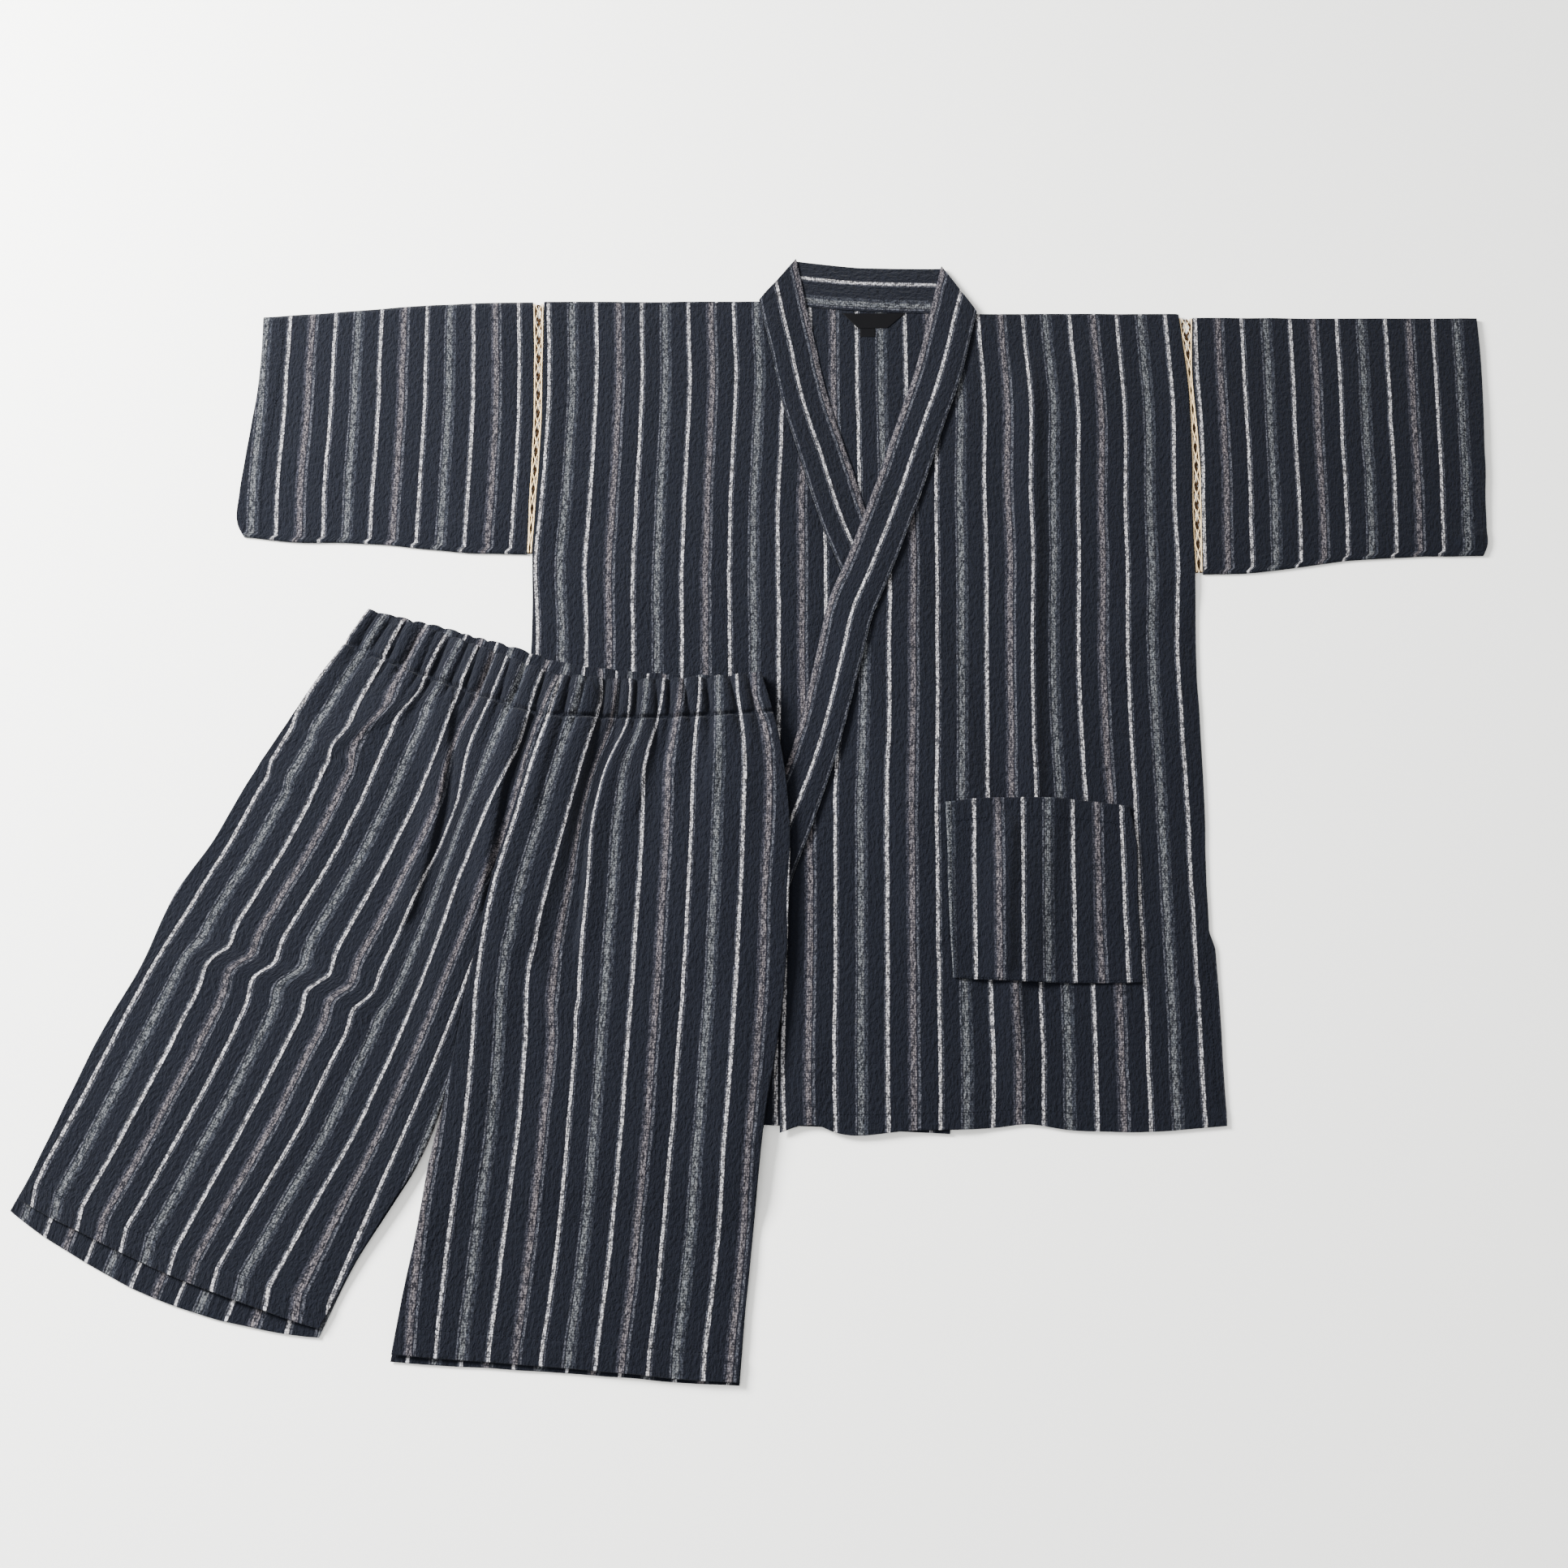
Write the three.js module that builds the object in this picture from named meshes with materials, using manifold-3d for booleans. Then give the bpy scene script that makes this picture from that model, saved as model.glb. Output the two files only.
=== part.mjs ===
// Jinbei set laid flat: a wrap-front summer jacket with lace let in at the armholes,
// and gathered shorts laid over its lower left corner.
// Millimetres, +Z up. +X is the viewer's right, +Y is towards the collar.
// Right and left in the names are the wearer's, so the right side is at -X.

import * as THREE from 'three';
import { mergeVertices } from 'three/addons/utils/BufferGeometryUtils.js';
import Module from 'manifold-3d';

const wasm = await Module();
wasm.setup();

// Driving sizes

const CLOTH = 1.2; // wall of one layer of crepe cloth
const BAND = 2.4; // collar band: the cloth folded double
const LABEL = 1.0; // woven label
const FOLD_INSET = 2; // the turned edge at a neck fold reaches this far into both layers
const GAP = 0.3; // between pieces at a seam and between layers
const SEAM_GAP = 0.35; // the same, measured along X at the collar's slanting seam

const BACK_SHOULDER_RIGHT = 515; // Y of the back's shoulder edge on the wearer's right
const BACK_SHOULDER_LEFT = 501.4;
const SHOULDER_INSET = 3; // the front's shoulder edge shows this much below the back's
const BACK_HEM = -321;

// A layer starts to lie down this far out from the edge of what is under it
const REACH = { front: 45, pocket: 35, legBack: 70, legFront: 22 };

const FRONT_LOFT = 1.4; // the fronts lie this far off the back at their middle
const LEG_LOFT = 2.0; // likewise for the shorts' legs
const SLEEVE_END_GAP = 0.4; // hollow of a sleeve at the lace
const SLEEVE_PUFF = 2.6; // and what it gains towards the open cuff
const POCKET_GAPE = 1.6; // the pocket's mouth stands off the front
const SLEEVE_STEPS = 8; // faces across each side of a sleeve

// The turn of a sleeve's wall at its folds: how far it starts from the fold, in wall
// thicknesses, and the levels of its two middle corners as shares of the fold's height
const SLEEVE_TURN = { outer: 0.6, inner: 1.3, innerMiddle: 1.6, low: 0.35, high: 0.65 };

const LACE_REPEAT = 17.5; // one crossing of the lace cords
const LACE_CORD = 1.5; // cord left round each hole
const LACE_HOLE_LENGTH = 12.5;

const WAVES_PER_LEG = 10; // gathers of the waist casing on each leg panel
const WAVE_HEIGHT = 1.8;
const CASING = 40; // depth of the waist casing, down to its stitch line
const GATHER_RUN = 110; // the gathers fade out this far below the stitch line
const STITCHED_SHARE = 0.45; // share of a gather's height that is left at the stitch line
const FOLD_TAIL = 0.1; // a fold runs on past both ends by this share of its length
const FOLD_FULL = 0.3; // it keeps its height this far down, and then sinks away

// Colours of the cloth, the lace and the labels

const STRIPED = new THREE.MeshStandardMaterial({ color: 0x353a47, roughness: 0.92, metalness: 0 });
const LACE = new THREE.MeshStandardMaterial({ color: 0xecd6ae, roughness: 0.85, metalness: 0 });
const BLACK = new THREE.MeshStandardMaterial({ color: 0x17171b, roughness: 0.7, metalness: 0 });

// Edge tables. Each row is [y, x], from the collar towards the hem.

const RIGHT_SIDE = [
  [234.5, -244.7], [141, -243.7], [0, -245.5], [-143, -248], [-159, -251], [-324, -250],
];
const LEFT_SIDE = [
  [213.5, 400.7], [105, 396], [-7, 395], [-143, 392], [-159, 396.5], [-310, 397.5], [-322, 397],
];

// Lace strips, [share of the armhole from the shoulder, x at the sleeve, x at the body]
const LACE_RIGHT = {
  top: 514,
  bottom: 234.5,
  edges: [[0, -255, -244], [0.25, -252, -242.5], [0.5, -250.5, -241.5], [0.75, -251, -243], [1, -250.5, -245]],
};
const LACE_LEFT = {
  top: 497.5,
  bottom: 213.5,
  edges: [[0, 415, 400.5], [0.25, 411, 405], [0.5, 412.5, 404.5], [0.75, 412, 402], [1, 408.5, 401]],
};

// Collar arms, [seam x, seam y, opening edge x, opening edge y], from the neck fold down.
// The right arm runs on under the left one, mirrored about the centre of the jacket.
const COLLAR_RIGHT = [
  [-25, 515.3, 13, 564], [-13, 458, 32, 467], [0, 396, 45, 406], [9, 363, 53, 376], [23, 313, 67, 328],
  [34, 276, 77, 293], [56, 216, 99, 232], [72, 170, 115, 186], [83, 132, 127, 143], [112, 7, 157, 19],
  [126, -42, 170, -28], [143, -94, 186, -78], [150, -121, 193, -105],
];
const COLLAR_LEFT = [
  [196, 502, 161, 556], [175, 421, 130, 433], [156, 363, 112, 378], [135, 299, 91, 314], [103, 209, 60, 225],
  [87, 170, 44, 186], [77, 132, 34, 143], [43, 7, 2, 18], [27, -42, -16, -28], [8, -94, -35, -78],
  [-2, -121, -45, -105],
];
const FRONT_RIGHT_EDGE = 148.5; // X of the front's edge at the hem
const FRONT_LEFT_EDGE = -4;

// Ends of the back's shoulder edge and hem, [x, y]
const BACK_RIGHT_ENDS = [[-243.7, BACK_SHOULDER_RIGHT], [-249, BACK_HEM]];
const BACK_LEFT_ENDS = [[396, BACK_HEM], [400.2, BACK_SHOULDER_LEFT]];

// Neckband behind the neck, [left x, y, right x, y, bow]: its top edge, middle and seam
const NECKBAND = [
  [13, 564, 161, 556, -3.5], [-6, 539.5, 178.5, 529, -3.5], [-25, 515.3, 196, 502, -3.5],
];

// Hemlines, [x, y]
const HEM_FRONT_LEFT = [
  [-4, -329], [15, -323], [31, -323], [43, -328], [115, -327], [195, -324], [212, -322], [255, -327],
  [348, -327], [397, -323],
];
const HEM_FRONT_RIGHT = [[-250, -323], [-100, -322], [-18, -322], [115, -328], [150, -330]];

// Labels sewn in at the back of the neck, [x, y] round the outline
const NECK_LABEL = [[76, 486], [105, 486], [124, 503], [60, 503]];
const SIZE_TAG = [[78, 476], [93, 476], [93, 485.7], [78, 485.7]];

// Sleeves from the lace to the cuff, [top x, top y, bottom x, bottom y]
const SLEEVE_RIGHT = [
  [-310, 513, -309, 236], [-365, 511, -365, 240], [-411, 508, -411, 245], [-457, 504, -457, 247.5],
  [-498, 499.5, -500, 248.5], [-529, 497, -529, 254],
];
const SLEEVE_LEFT = [
  [464, 497, 464, 215], [523, 496.3, 520, 221], [565, 496, 563, 227], [606, 496, 606, 231],
  [655, 495.5, 650, 233.5], [703, 495, 688, 234],
];

// Patch pocket on the left front, [left x, y, right x, y, bow]
const POCKET = [
  [150, -22, 324, -24, 6], [151, -46, 328, -46, 0], [152, -117, 327.5, -117, 0], [153.5, -189, 327, -192, -3],
];

// Legs of the shorts, [distance from the waist, left x, left y, right x, right y, bow].
// The last figure moves the middle of the row along Y.
const LEG_RIGHT = [
  [0, -403, 175, -215, 103, 3], [40, -423, 141, -225, 63, -3], [90, -449, 101, -241, 14, -3],
  [150, -478, 49, -256, -43, -3], [210, -507, -4, -270, -100, -3], [270, -534, -59, -281, -160, -3],
  [287, -543, -74, -285, -177, -3], [325, -563, -107, -291.5, -215, -4], [410, -590, -181, -305, -298, -6],
  [470, -617, -243, -324, -354, -8], [530, -640, -298, -354, -406, -10], [580, -658, -344, -379, -449, -11],
  [635, -676, -389, -404, -500, -12],
];
const LEG_LEFT = [
  [0, -215, 103, -22, 108, -4], [40, -225, 63, -11, 68, -2], [90, -241, 14, 0, 17, 0],
  [150, -256, -43, 6, -45, 0], [210, -270, -100, 4.5, -107, 0], [270, -281, -160, 2, -170, 0],
  [287, -285, -177, 1, -187, 0], [346, -294, -236, -6, -248, 0], [410, -304, -299, -17, -313, 0],
  [470, -315, -358, -23, -374, 0], [530, -323, -417, -29, -437, 0], [583, -332, -469, -34.5, -492, 0],
  [635, -340, -521, -39, -545, 0],
];
// The back panels differ at the gaping waist and at the hem, where they show past the fronts
const BACK_WAIST_RIGHT = [0, -403, 175, -214, 119, 4];
const BACK_WAIST_LEFT = [0, -214, 119, -22, 108, -5];
const BACK_HEM_RIGHT = [635, -684, -398, -406, -505, -13];
const BACK_HEM_LEFT = [635, -341, -527, -38.5, -547, 0];
const LEG_STATIONS = [0, 20, 40, 55, 80, 115, 150, 200, 250, 287, 330, 385, 440, 500, 565, 635];

// Folds that the shorts' fronts are laid in, [x, y, to x, to y, height, half width]
const LEG_FOLDS = [
  [-316, 92, -342, -128, 3.2, 12], [-165, 63, -220, -128, 3.2, 12], [-232, 60, -262, -110, 2.6, 12],
  [-322, 99, -430, 29, 2.0, 11], [-120, 60, -143, -50, 1.6, 12], [-60, 62, -66, -10, 1.4, 12],
  [-569, -158, -336, -216, 1.4, 16], [-276, -144, -158, -227, 1.4, 16],
];

// The tray holds the height that has been reached so far over each cell of the floor

const TRAY = { cell: 5, x: -720, y: -580, across: 300, deep: 240 };
const trayTop = new Float64Array(TRAY.across * TRAY.deep);

function restingHeight(x, y, reach) {
  const column = (x - TRAY.x) / TRAY.cell;
  const row = (y - TRAY.y) / TRAY.cell;
  const span = reach / TRAY.cell;
  let highest = 0;
  for (let r = Math.ceil(row - span); r <= row + span; r++) {
    for (let c = Math.ceil(column - span); c <= column + span; c++) {
      if (r < 0 || c < 0 || r >= TRAY.deep || c >= TRAY.across) continue;
      if (Math.hypot(r - row, c - column) > span) continue;
      highest = Math.max(highest, trayTop[r * TRAY.across + c]);
    }
  }
  return highest > 0 ? highest + GAP : 0;
}

function layTriangle(a, b, c) {
  const area = (b[0] - a[0]) * (c[1] - a[1]) - (b[1] - a[1]) * (c[0] - a[0]);
  if (Math.abs(area) < 1e-9) return;
  const cellOf = (value, start) => (value - start) / TRAY.cell;
  const rowFrom = Math.ceil(cellOf(Math.min(a[1], b[1], c[1]), TRAY.y));
  const rowTo = Math.floor(cellOf(Math.max(a[1], b[1], c[1]), TRAY.y));
  const columnFrom = Math.ceil(cellOf(Math.min(a[0], b[0], c[0]), TRAY.x));
  const columnTo = Math.floor(cellOf(Math.max(a[0], b[0], c[0]), TRAY.x));
  for (let r = rowFrom; r <= rowTo; r++) {
    for (let k = columnFrom; k <= columnTo; k++) {
      const x = TRAY.x + k * TRAY.cell;
      const y = TRAY.y + r * TRAY.cell;
      const shareB = ((x - a[0]) * (c[1] - a[1]) - (y - a[1]) * (c[0] - a[0])) / area;
      const shareC = ((b[0] - a[0]) * (y - a[1]) - (b[1] - a[1]) * (x - a[0])) / area;
      if (shareB < 0 || shareC < 0 || shareB + shareC > 1) continue;
      const z = a[2] + shareB * (b[2] - a[2]) + shareC * (c[2] - a[2]);
      const cell = r * TRAY.across + k;
      trayTop[cell] = Math.max(trayTop[cell], z);
    }
  }
}

function layDown(grid) {
  for (let i = 1; i < grid.length; i++) {
    for (let j = 1; j < grid[i].length; j++) {
      const corner = [grid[i - 1][j - 1], grid[i][j - 1], grid[i][j], grid[i - 1][j]];
      const [a, b, c, d] = corner.map((p) => [p.x, p.y, p.top]);
      layTriangle(a, b, c);
      layTriangle(a, c, d);
    }
  }
}

// Tables and grids

const mix = (a, b, share) => a + (b - a) * share;

// Reads a table whose first column is the key, at any key between its ends
function readTable(table, key) {
  const rising = table[table.length - 1][0] > table[0][0];
  const after = table.findIndex((row) => (rising ? row[0] >= key : row[0] <= key));
  if (after === 0) return table[0].slice(1);
  if (after < 0) return table[table.length - 1].slice(1);
  const [from, to] = [table[after - 1], table[after]];
  const share = (key - from[0]) / (to[0] - from[0]);
  return from.slice(1).map((value, column) => mix(value, to[column + 1], share));
}

// Rows of [left x, left y, right x, right y, bow] become a grid of points with s across and t along
function gridOfRows(rows, columns) {
  return rows.map(([leftX, leftY, rightX, rightY, bow = 0], i) => {
    const t = i / (rows.length - 1);
    return Array.from({ length: columns + 1 }, (_, j) => {
      const s = j / columns;
      return { x: mix(leftX, rightX, s), y: mix(leftY, rightY, s) + bow * 4 * s * (1 - s), s, t };
    });
  });
}

// Adds rows so that none is further than `step` from the next, on straight lines between them
function refineRows(rows, step) {
  const fine = [rows[0]];
  for (let i = 1; i < rows.length; i++) {
    const [from, to] = [rows[i - 1], rows[i]];
    const leftRun = Math.hypot(to[0] - from[0], to[1] - from[1]);
    const rightRun = Math.hypot(to[2] - from[2], to[3] - from[3]);
    const parts = Math.max(1, Math.round(Math.max(leftRun, rightRun) / step));
    for (let part = 1; part <= parts; part++) {
      fine.push(to.map((value, column) => mix(from[column] ?? 0, value, part / parts)));
    }
  }
  return fine;
}

function setHeights(grid, thickness, reach, lift = () => 0) {
  for (const row of grid) {
    for (const point of row) {
      point.base = restingHeight(point.x, point.y, reach) + lift(point);
      point.top = point.base + thickness;
    }
  }
  return grid;
}

function setOnFloor(grid, thickness) {
  for (const point of grid.flat()) {
    point.base = 0;
    point.top = thickness;
  }
  return grid;
}

// A wall of cloth: the grid's upper and lower faces with an edge all round
function wallGeometry(grid) {
  const rows = grid.length;
  const columns = grid[0].length;
  const positions = [];
  for (const face of ['base', 'top']) {
    for (const row of grid) for (const p of row) positions.push(p.x, p.y, p[face]);
  }
  const lower = (i, j) => i * columns + j;
  const upper = (i, j) => rows * columns + i * columns + j;
  const index = [];
  const quad = (a, b, c, d) => index.push(a, b, c, a, c, d);
  for (let i = 1; i < rows; i++) {
    for (let j = 1; j < columns; j++) {
      quad(upper(i - 1, j - 1), upper(i, j - 1), upper(i, j), upper(i - 1, j));
      quad(lower(i - 1, j - 1), lower(i - 1, j), lower(i, j), lower(i, j - 1));
    }
    quad(upper(i - 1, 0), lower(i - 1, 0), lower(i, 0), upper(i, 0));
    quad(upper(i, columns - 1), lower(i, columns - 1), lower(i - 1, columns - 1), upper(i - 1, columns - 1));
  }
  for (let j = 1; j < columns; j++) {
    quad(upper(0, j), lower(0, j), lower(0, j - 1), upper(0, j - 1));
    quad(upper(rows - 1, j - 1), lower(rows - 1, j - 1), lower(rows - 1, j), upper(rows - 1, j));
  }
  const geometry = new THREE.BufferGeometry();
  geometry.setAttribute('position', new THREE.Float32BufferAttribute(positions, 3));
  geometry.setIndex(index);
  return geometry;
}

// A flat piece cut from an outline of [x, y] points, with holes
function flatGeometry(outline, holes, base, thickness) {
  const shape = new THREE.Shape(outline.map(([x, y]) => new THREE.Vector2(x, y)));
  for (const hole of holes) {
    shape.holes.push(new THREE.Path(hole.map(([x, y]) => new THREE.Vector2(x, y))));
  }
  const geometry = new THREE.ExtrudeGeometry(shape, { depth: thickness, bevelEnabled: false });
  return geometry.translate(0, 0, base);
}

function joined(geometries) {
  const solids = geometries.map((geometry) => {
    const bare = geometry.clone();
    bare.deleteAttribute('normal');
    bare.deleteAttribute('uv');
    const merged = mergeVertices(bare, 1e-4);
    return new wasm.Manifold(new wasm.Mesh({
      numProp: 3,
      vertProperties: new Float32Array(merged.attributes.position.array),
      triVerts: new Uint32Array(merged.index.array),
    }));
  });
  const mesh = solids.reduce((whole, solid) => whole.add(solid)).getMesh();
  const geometry = new THREE.BufferGeometry();
  geometry.setAttribute('position', new THREE.Float32BufferAttribute(mesh.vertProperties, 3));
  geometry.setIndex(Array.from(mesh.triVerts));
  return geometry;
}

const group = new THREE.Group();

function addPiece(name, geometry, material) {
  const mesh = new THREE.Mesh(geometry, material);
  mesh.name = name;
  group.add(mesh);
}

// Armhole edges of the body, taken from the lace so that both share their corners

function armholeEdge(lace, side) {
  return lace.edges.map(([share, , bodyX]) => [mix(lace.top, lace.bottom, share), bodyX + side * GAP]);
}
const rightBodyEdge = [...armholeEdge(LACE_RIGHT, 1), ...RIGHT_SIDE.slice(1)];
const leftBodyEdge = [...armholeEdge(LACE_LEFT, -1), ...LEFT_SIDE.slice(1)];

// Jacket back: one flat panel, with its neck edge along the neckband's seam

function jacketBack() {
  const neckSeam = gridOfRows(NECKBAND, 8)[NECKBAND.length - 1].map((p) => [p.x, p.y - GAP]);
  const between = (edge, ends) => edge.map(([y, x]) => [x, y])
    .filter(([, y]) => y < Math.max(ends[0][1], ends[1][1]) - 2 && y > BACK_HEM + 5);
  const right = between(rightBodyEdge, BACK_RIGHT_ENDS);
  const left = between(leftBodyEdge, BACK_LEFT_ENDS);
  const outline = [
    BACK_RIGHT_ENDS[0], ...right, BACK_RIGHT_ENDS[1],
    BACK_LEFT_ENDS[0], ...left.reverse(), BACK_LEFT_ENDS[1], ...neckSeam.reverse(),
  ];
  return flatGeometry(outline, [], 0, CLOTH);
}

// Sleeves: flattened tubes, folded along the top, open at the lace and at the cuff

function sleeveGeometry(lace, stations) {
  const shares = Array.from({ length: SLEEVE_STEPS + 1 }, (_, k) => k / SLEEVE_STEPS);
  const side = Math.sign(stations[0][0]);
  const rings = [null, ...stations].map((station, k) => {
    const along = k / stations.length;
    const gap = SLEEVE_END_GAP + SLEEVE_PUFF * Math.sin((Math.PI / 2) * along);
    const place = (share) => {
      if (station) return [mix(station[0], station[2], share), mix(station[1], station[3], share)];
      return [readTable(lace.edges, share)[0] + side * GAP, mix(lace.top, lace.bottom, share)];
    };
    const width = lace.top - lace.bottom;
    const tuck = CLOTH / width;
    const height = (share) => 2 * CLOTH + SLEEVE_END_GAP + (gap - SLEEVE_END_GAP) * Math.sin(Math.PI * share);
    const inward = (share, steps) => Math.min(Math.max(share, steps * tuck), 1 - steps * tuck);
    const fold = 2 * CLOTH + SLEEVE_END_GAP;
    const outer = [];
    const inner = [];
    const put = (ring, share, z) => ring.push([...place(share), z]);
    for (const share of shares) {
      put(outer, inward(share, SLEEVE_TURN.outer), 0);
      put(inner, inward(share, SLEEVE_TURN.inner), CLOTH);
    }
    for (const z of [SLEEVE_TURN.low, SLEEVE_TURN.high]) {
      put(outer, 1, fold * z);
      put(inner, 1 - SLEEVE_TURN.innerMiddle * tuck, CLOTH + SLEEVE_END_GAP * z);
    }
    for (const share of [...shares].reverse()) {
      put(outer, inward(share, SLEEVE_TURN.outer), height(share));
      put(inner, inward(share, SLEEVE_TURN.inner), height(share) - CLOTH);
    }
    for (const z of [SLEEVE_TURN.high, SLEEVE_TURN.low]) {
      put(outer, 0, fold * z);
      put(inner, SLEEVE_TURN.innerMiddle * tuck, CLOTH + SLEEVE_END_GAP * z);
    }
    return { outer, inner };
  });
  return tubeGeometry(rings, side < 0);
}

// An open tube with a wall, from rings that each have an outer and an inner loop
function tubeGeometry(rings, turned) {
  const count = rings[0].outer.length;
  const positions = rings.flatMap((ring) => [...ring.outer, ...ring.inner]).flat();
  const outer = (k, i) => k * 2 * count + (i % count);
  const inner = (k, i) => k * 2 * count + count + (i % count);
  const index = [];
  const quad = (a, b, c, d) => {
    if (turned) index.push(a, b, c, a, c, d);
    else index.push(a, c, b, a, d, c);
  };
  const last = rings.length - 1;
  for (let i = 0; i < count; i++) {
    for (let k = 0; k < last; k++) {
      quad(outer(k, i), outer(k, i + 1), outer(k + 1, i + 1), outer(k + 1, i));
      quad(inner(k, i), inner(k + 1, i), inner(k + 1, i + 1), inner(k, i + 1));
    }
    quad(outer(0, i), inner(0, i), inner(0, i + 1), outer(0, i + 1));
    quad(outer(last, i), outer(last, i + 1), inner(last, i + 1), inner(last, i));
  }
  const geometry = new THREE.BufferGeometry();
  geometry.setAttribute('position', new THREE.Float32BufferAttribute(positions, 3));
  geometry.setIndex(index);
  return geometry;
}

// Lace: a strip of crossed cords, with the diamonds between the crossings cut through

function laceGeometry(lace, base) {
  const yAt = (share) => mix(lace.top, lace.bottom, share);
  const sleeveEdge = lace.edges.map(([share, sleeveX]) => [sleeveX, yAt(share)]);
  const bodyEdge = lace.edges.map(([share, , bodyX]) => [bodyX, yAt(share)]);
  const length = lace.top - lace.bottom;
  const repeats = Math.floor(length / LACE_REPEAT);
  const holes = [];
  for (let k = 0; k < repeats; k++) {
    const middle = (k + 0.5) / repeats;
    const half = LACE_HOLE_LENGTH / 2;
    const [sleeveX, bodyX] = readTable(lace.edges, middle);
    const centre = (sleeveX + bodyX) / 2;
    const halfWidth = Math.abs(bodyX - sleeveX) / 2 - LACE_CORD;
    const y = yAt(middle);
    holes.push([[centre, y + half], [centre - halfWidth, y], [centre, y - half], [centre + halfWidth, y]]);
  }
  return flatGeometry([...sleeveEdge, ...bodyEdge.reverse()], holes, base, CLOTH);
}

// Jacket fronts: rows between the side and the collar's seam, then the front edge

function frontRows(sideEdge, collar, frontEdgeX, top, hem, sideIsLeft) {
  const seam = collar.map(([x, y]) => [y, x + (sideIsLeft ? -SEAM_GAP : SEAM_GAP)]);
  const opening = [...seam, [hem, frontEdgeX]];
  const inside = (y) => y < top - 1 && y > hem + 1;
  const keys = [...new Set([...sideEdge, ...opening].map(([y]) => y).filter(inside))];
  return [top, ...keys.sort((a, b) => b - a), hem].map((y) => {
    const side = readTable(sideEdge, y)[0];
    const edge = readTable(opening, y)[0];
    return sideIsLeft ? [side, y, edge, y] : [edge, y, side, y];
  });
}

function frontGrid(sideEdge, collar, edgeX, top, hemline, sideIsLeft, columns) {
  const rows = frontRows(sideEdge, collar, edgeX, top, BACK_HEM, sideIsLeft);
  const grid = gridOfRows(refineRows(rows, 40), columns);
  for (const point of grid[grid.length - 1]) point.y = readTable(hemline, point.x)[0];
  return grid;
}

const frontLift = ({ s, t }) => FRONT_LOFT * Math.sin(Math.PI * s) * Math.sin(Math.PI * t);

// Collar: one doubled band. It lies face down behind the neck and turns over at both
// neck folds into the two arms, which lie face up along the fronts.

function collarArmRows(collar, seamFirst) {
  return collar.map(([seamX, seamY, openX, openY]) => (
    seamFirst ? [seamX, seamY, openX, openY] : [openX, openY, seamX, seamY]
  ));
}

// The turned edge of the band at a neck fold, from `start` to `end`, rounded outwards.
// It stops short of both ends, where the band's own edges cross the fold at a slant.
function foldRoll(start, end) {
  const along = new THREE.Vector3(end[0] - start[0], end[1] - start[1], 0);
  const length = along.length() - 2 * FOLD_INSET;
  along.normalize();
  const up = new THREE.Vector3(0, 0, 1);
  const outward = new THREE.Vector3().crossVectors(up, along);
  const height = 2 * BAND + GAP;
  const section = [
    [-FOLD_INSET, 0], [0, 0], [1.1, 0.15 * height], [1.5, 0.5 * height], [1.1, 0.85 * height],
    [0, height], [-FOLD_INSET, height],
  ];
  const roll = flatGeometry(section, [], 0, length);
  const frame = new THREE.Matrix4().makeBasis(outward, up, along).setPosition(
    start[0] + FOLD_INSET * along.x, start[1] + FOLD_INSET * along.y, 0,
  );
  return roll.applyMatrix4(frame);
}

// Shorts: each leg has a front and a back panel with the same stations and columns

function legRows(table, waist, hem) {
  const whole = [waist ?? table[0], ...table.slice(1, -1), hem ?? table[table.length - 1]];
  return LEG_STATIONS.map((distance) => readTable(whole, distance));
}

function legGrid(table, seamSide, waist, hem) {
  const grid = gridOfRows(legRows(table, waist, hem), 2 * WAVES_PER_LEG);
  grid.forEach((row, i) => row.forEach((point) => {
    const seamShare = seamSide < 0 ? 1 - point.s : point.s;
    point.x += seamSide * (GAP / 2) * (1 - seamShare);
    point.distance = LEG_STATIONS[i];
  }));
  return grid;
}

// Gathers: a crest on every other column, held down at the stitch line, dying out below it
function gatherLift({ s, distance }) {
  const crest = (1 - Math.cos(2 * Math.PI * WAVES_PER_LEG * s)) / 2;
  const below = Math.max(0, distance - CASING);
  const fade = Math.max(0, 1 - below / GATHER_RUN);
  const held = distance === CASING ? STITCHED_SHARE : 1;
  return WAVE_HEIGHT * crest * fade * fade * held;
}

function foldLift({ x, y }) {
  return LEG_FOLDS.reduce((sum, [x0, y0, x1, y1, height, halfWidth]) => {
    const run = [x1 - x0, y1 - y0];
    const share = ((x - x0) * run[0] + (y - y0) * run[1]) / (run[0] ** 2 + run[1] ** 2);
    if (share < -FOLD_TAIL || share > 1 + FOLD_TAIL) return sum;
    const away = Math.hypot(x - x0 - share * run[0], y - y0 - share * run[1]);
    const sunk = Math.max(0, (share - FOLD_FULL) / (1 + FOLD_TAIL - FOLD_FULL));
    const taper = Math.cos((Math.PI / 2) * sunk);
    return sum + height * taper * Math.exp(-((away / halfWidth) ** 2));
  }, 0);
}

const legLoft = ({ s, t }) => LEG_LOFT * Math.sin(Math.PI * s) * Math.min(1, 4 * t);

// First layer, on the floor: the back, the back lace strips, both sleeves and the neckband

addPiece('jacket_back', jacketBack(), STRIPED);
addPiece('lace_right_back', laceGeometry(LACE_RIGHT, 0), LACE);
addPiece('lace_left_back', laceGeometry(LACE_LEFT, 0), LACE);
addPiece('sleeve_right', sleeveGeometry(LACE_RIGHT, SLEEVE_RIGHT), STRIPED);
addPiece('sleeve_left', sleeveGeometry(LACE_LEFT, SLEEVE_LEFT), STRIPED);

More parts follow.
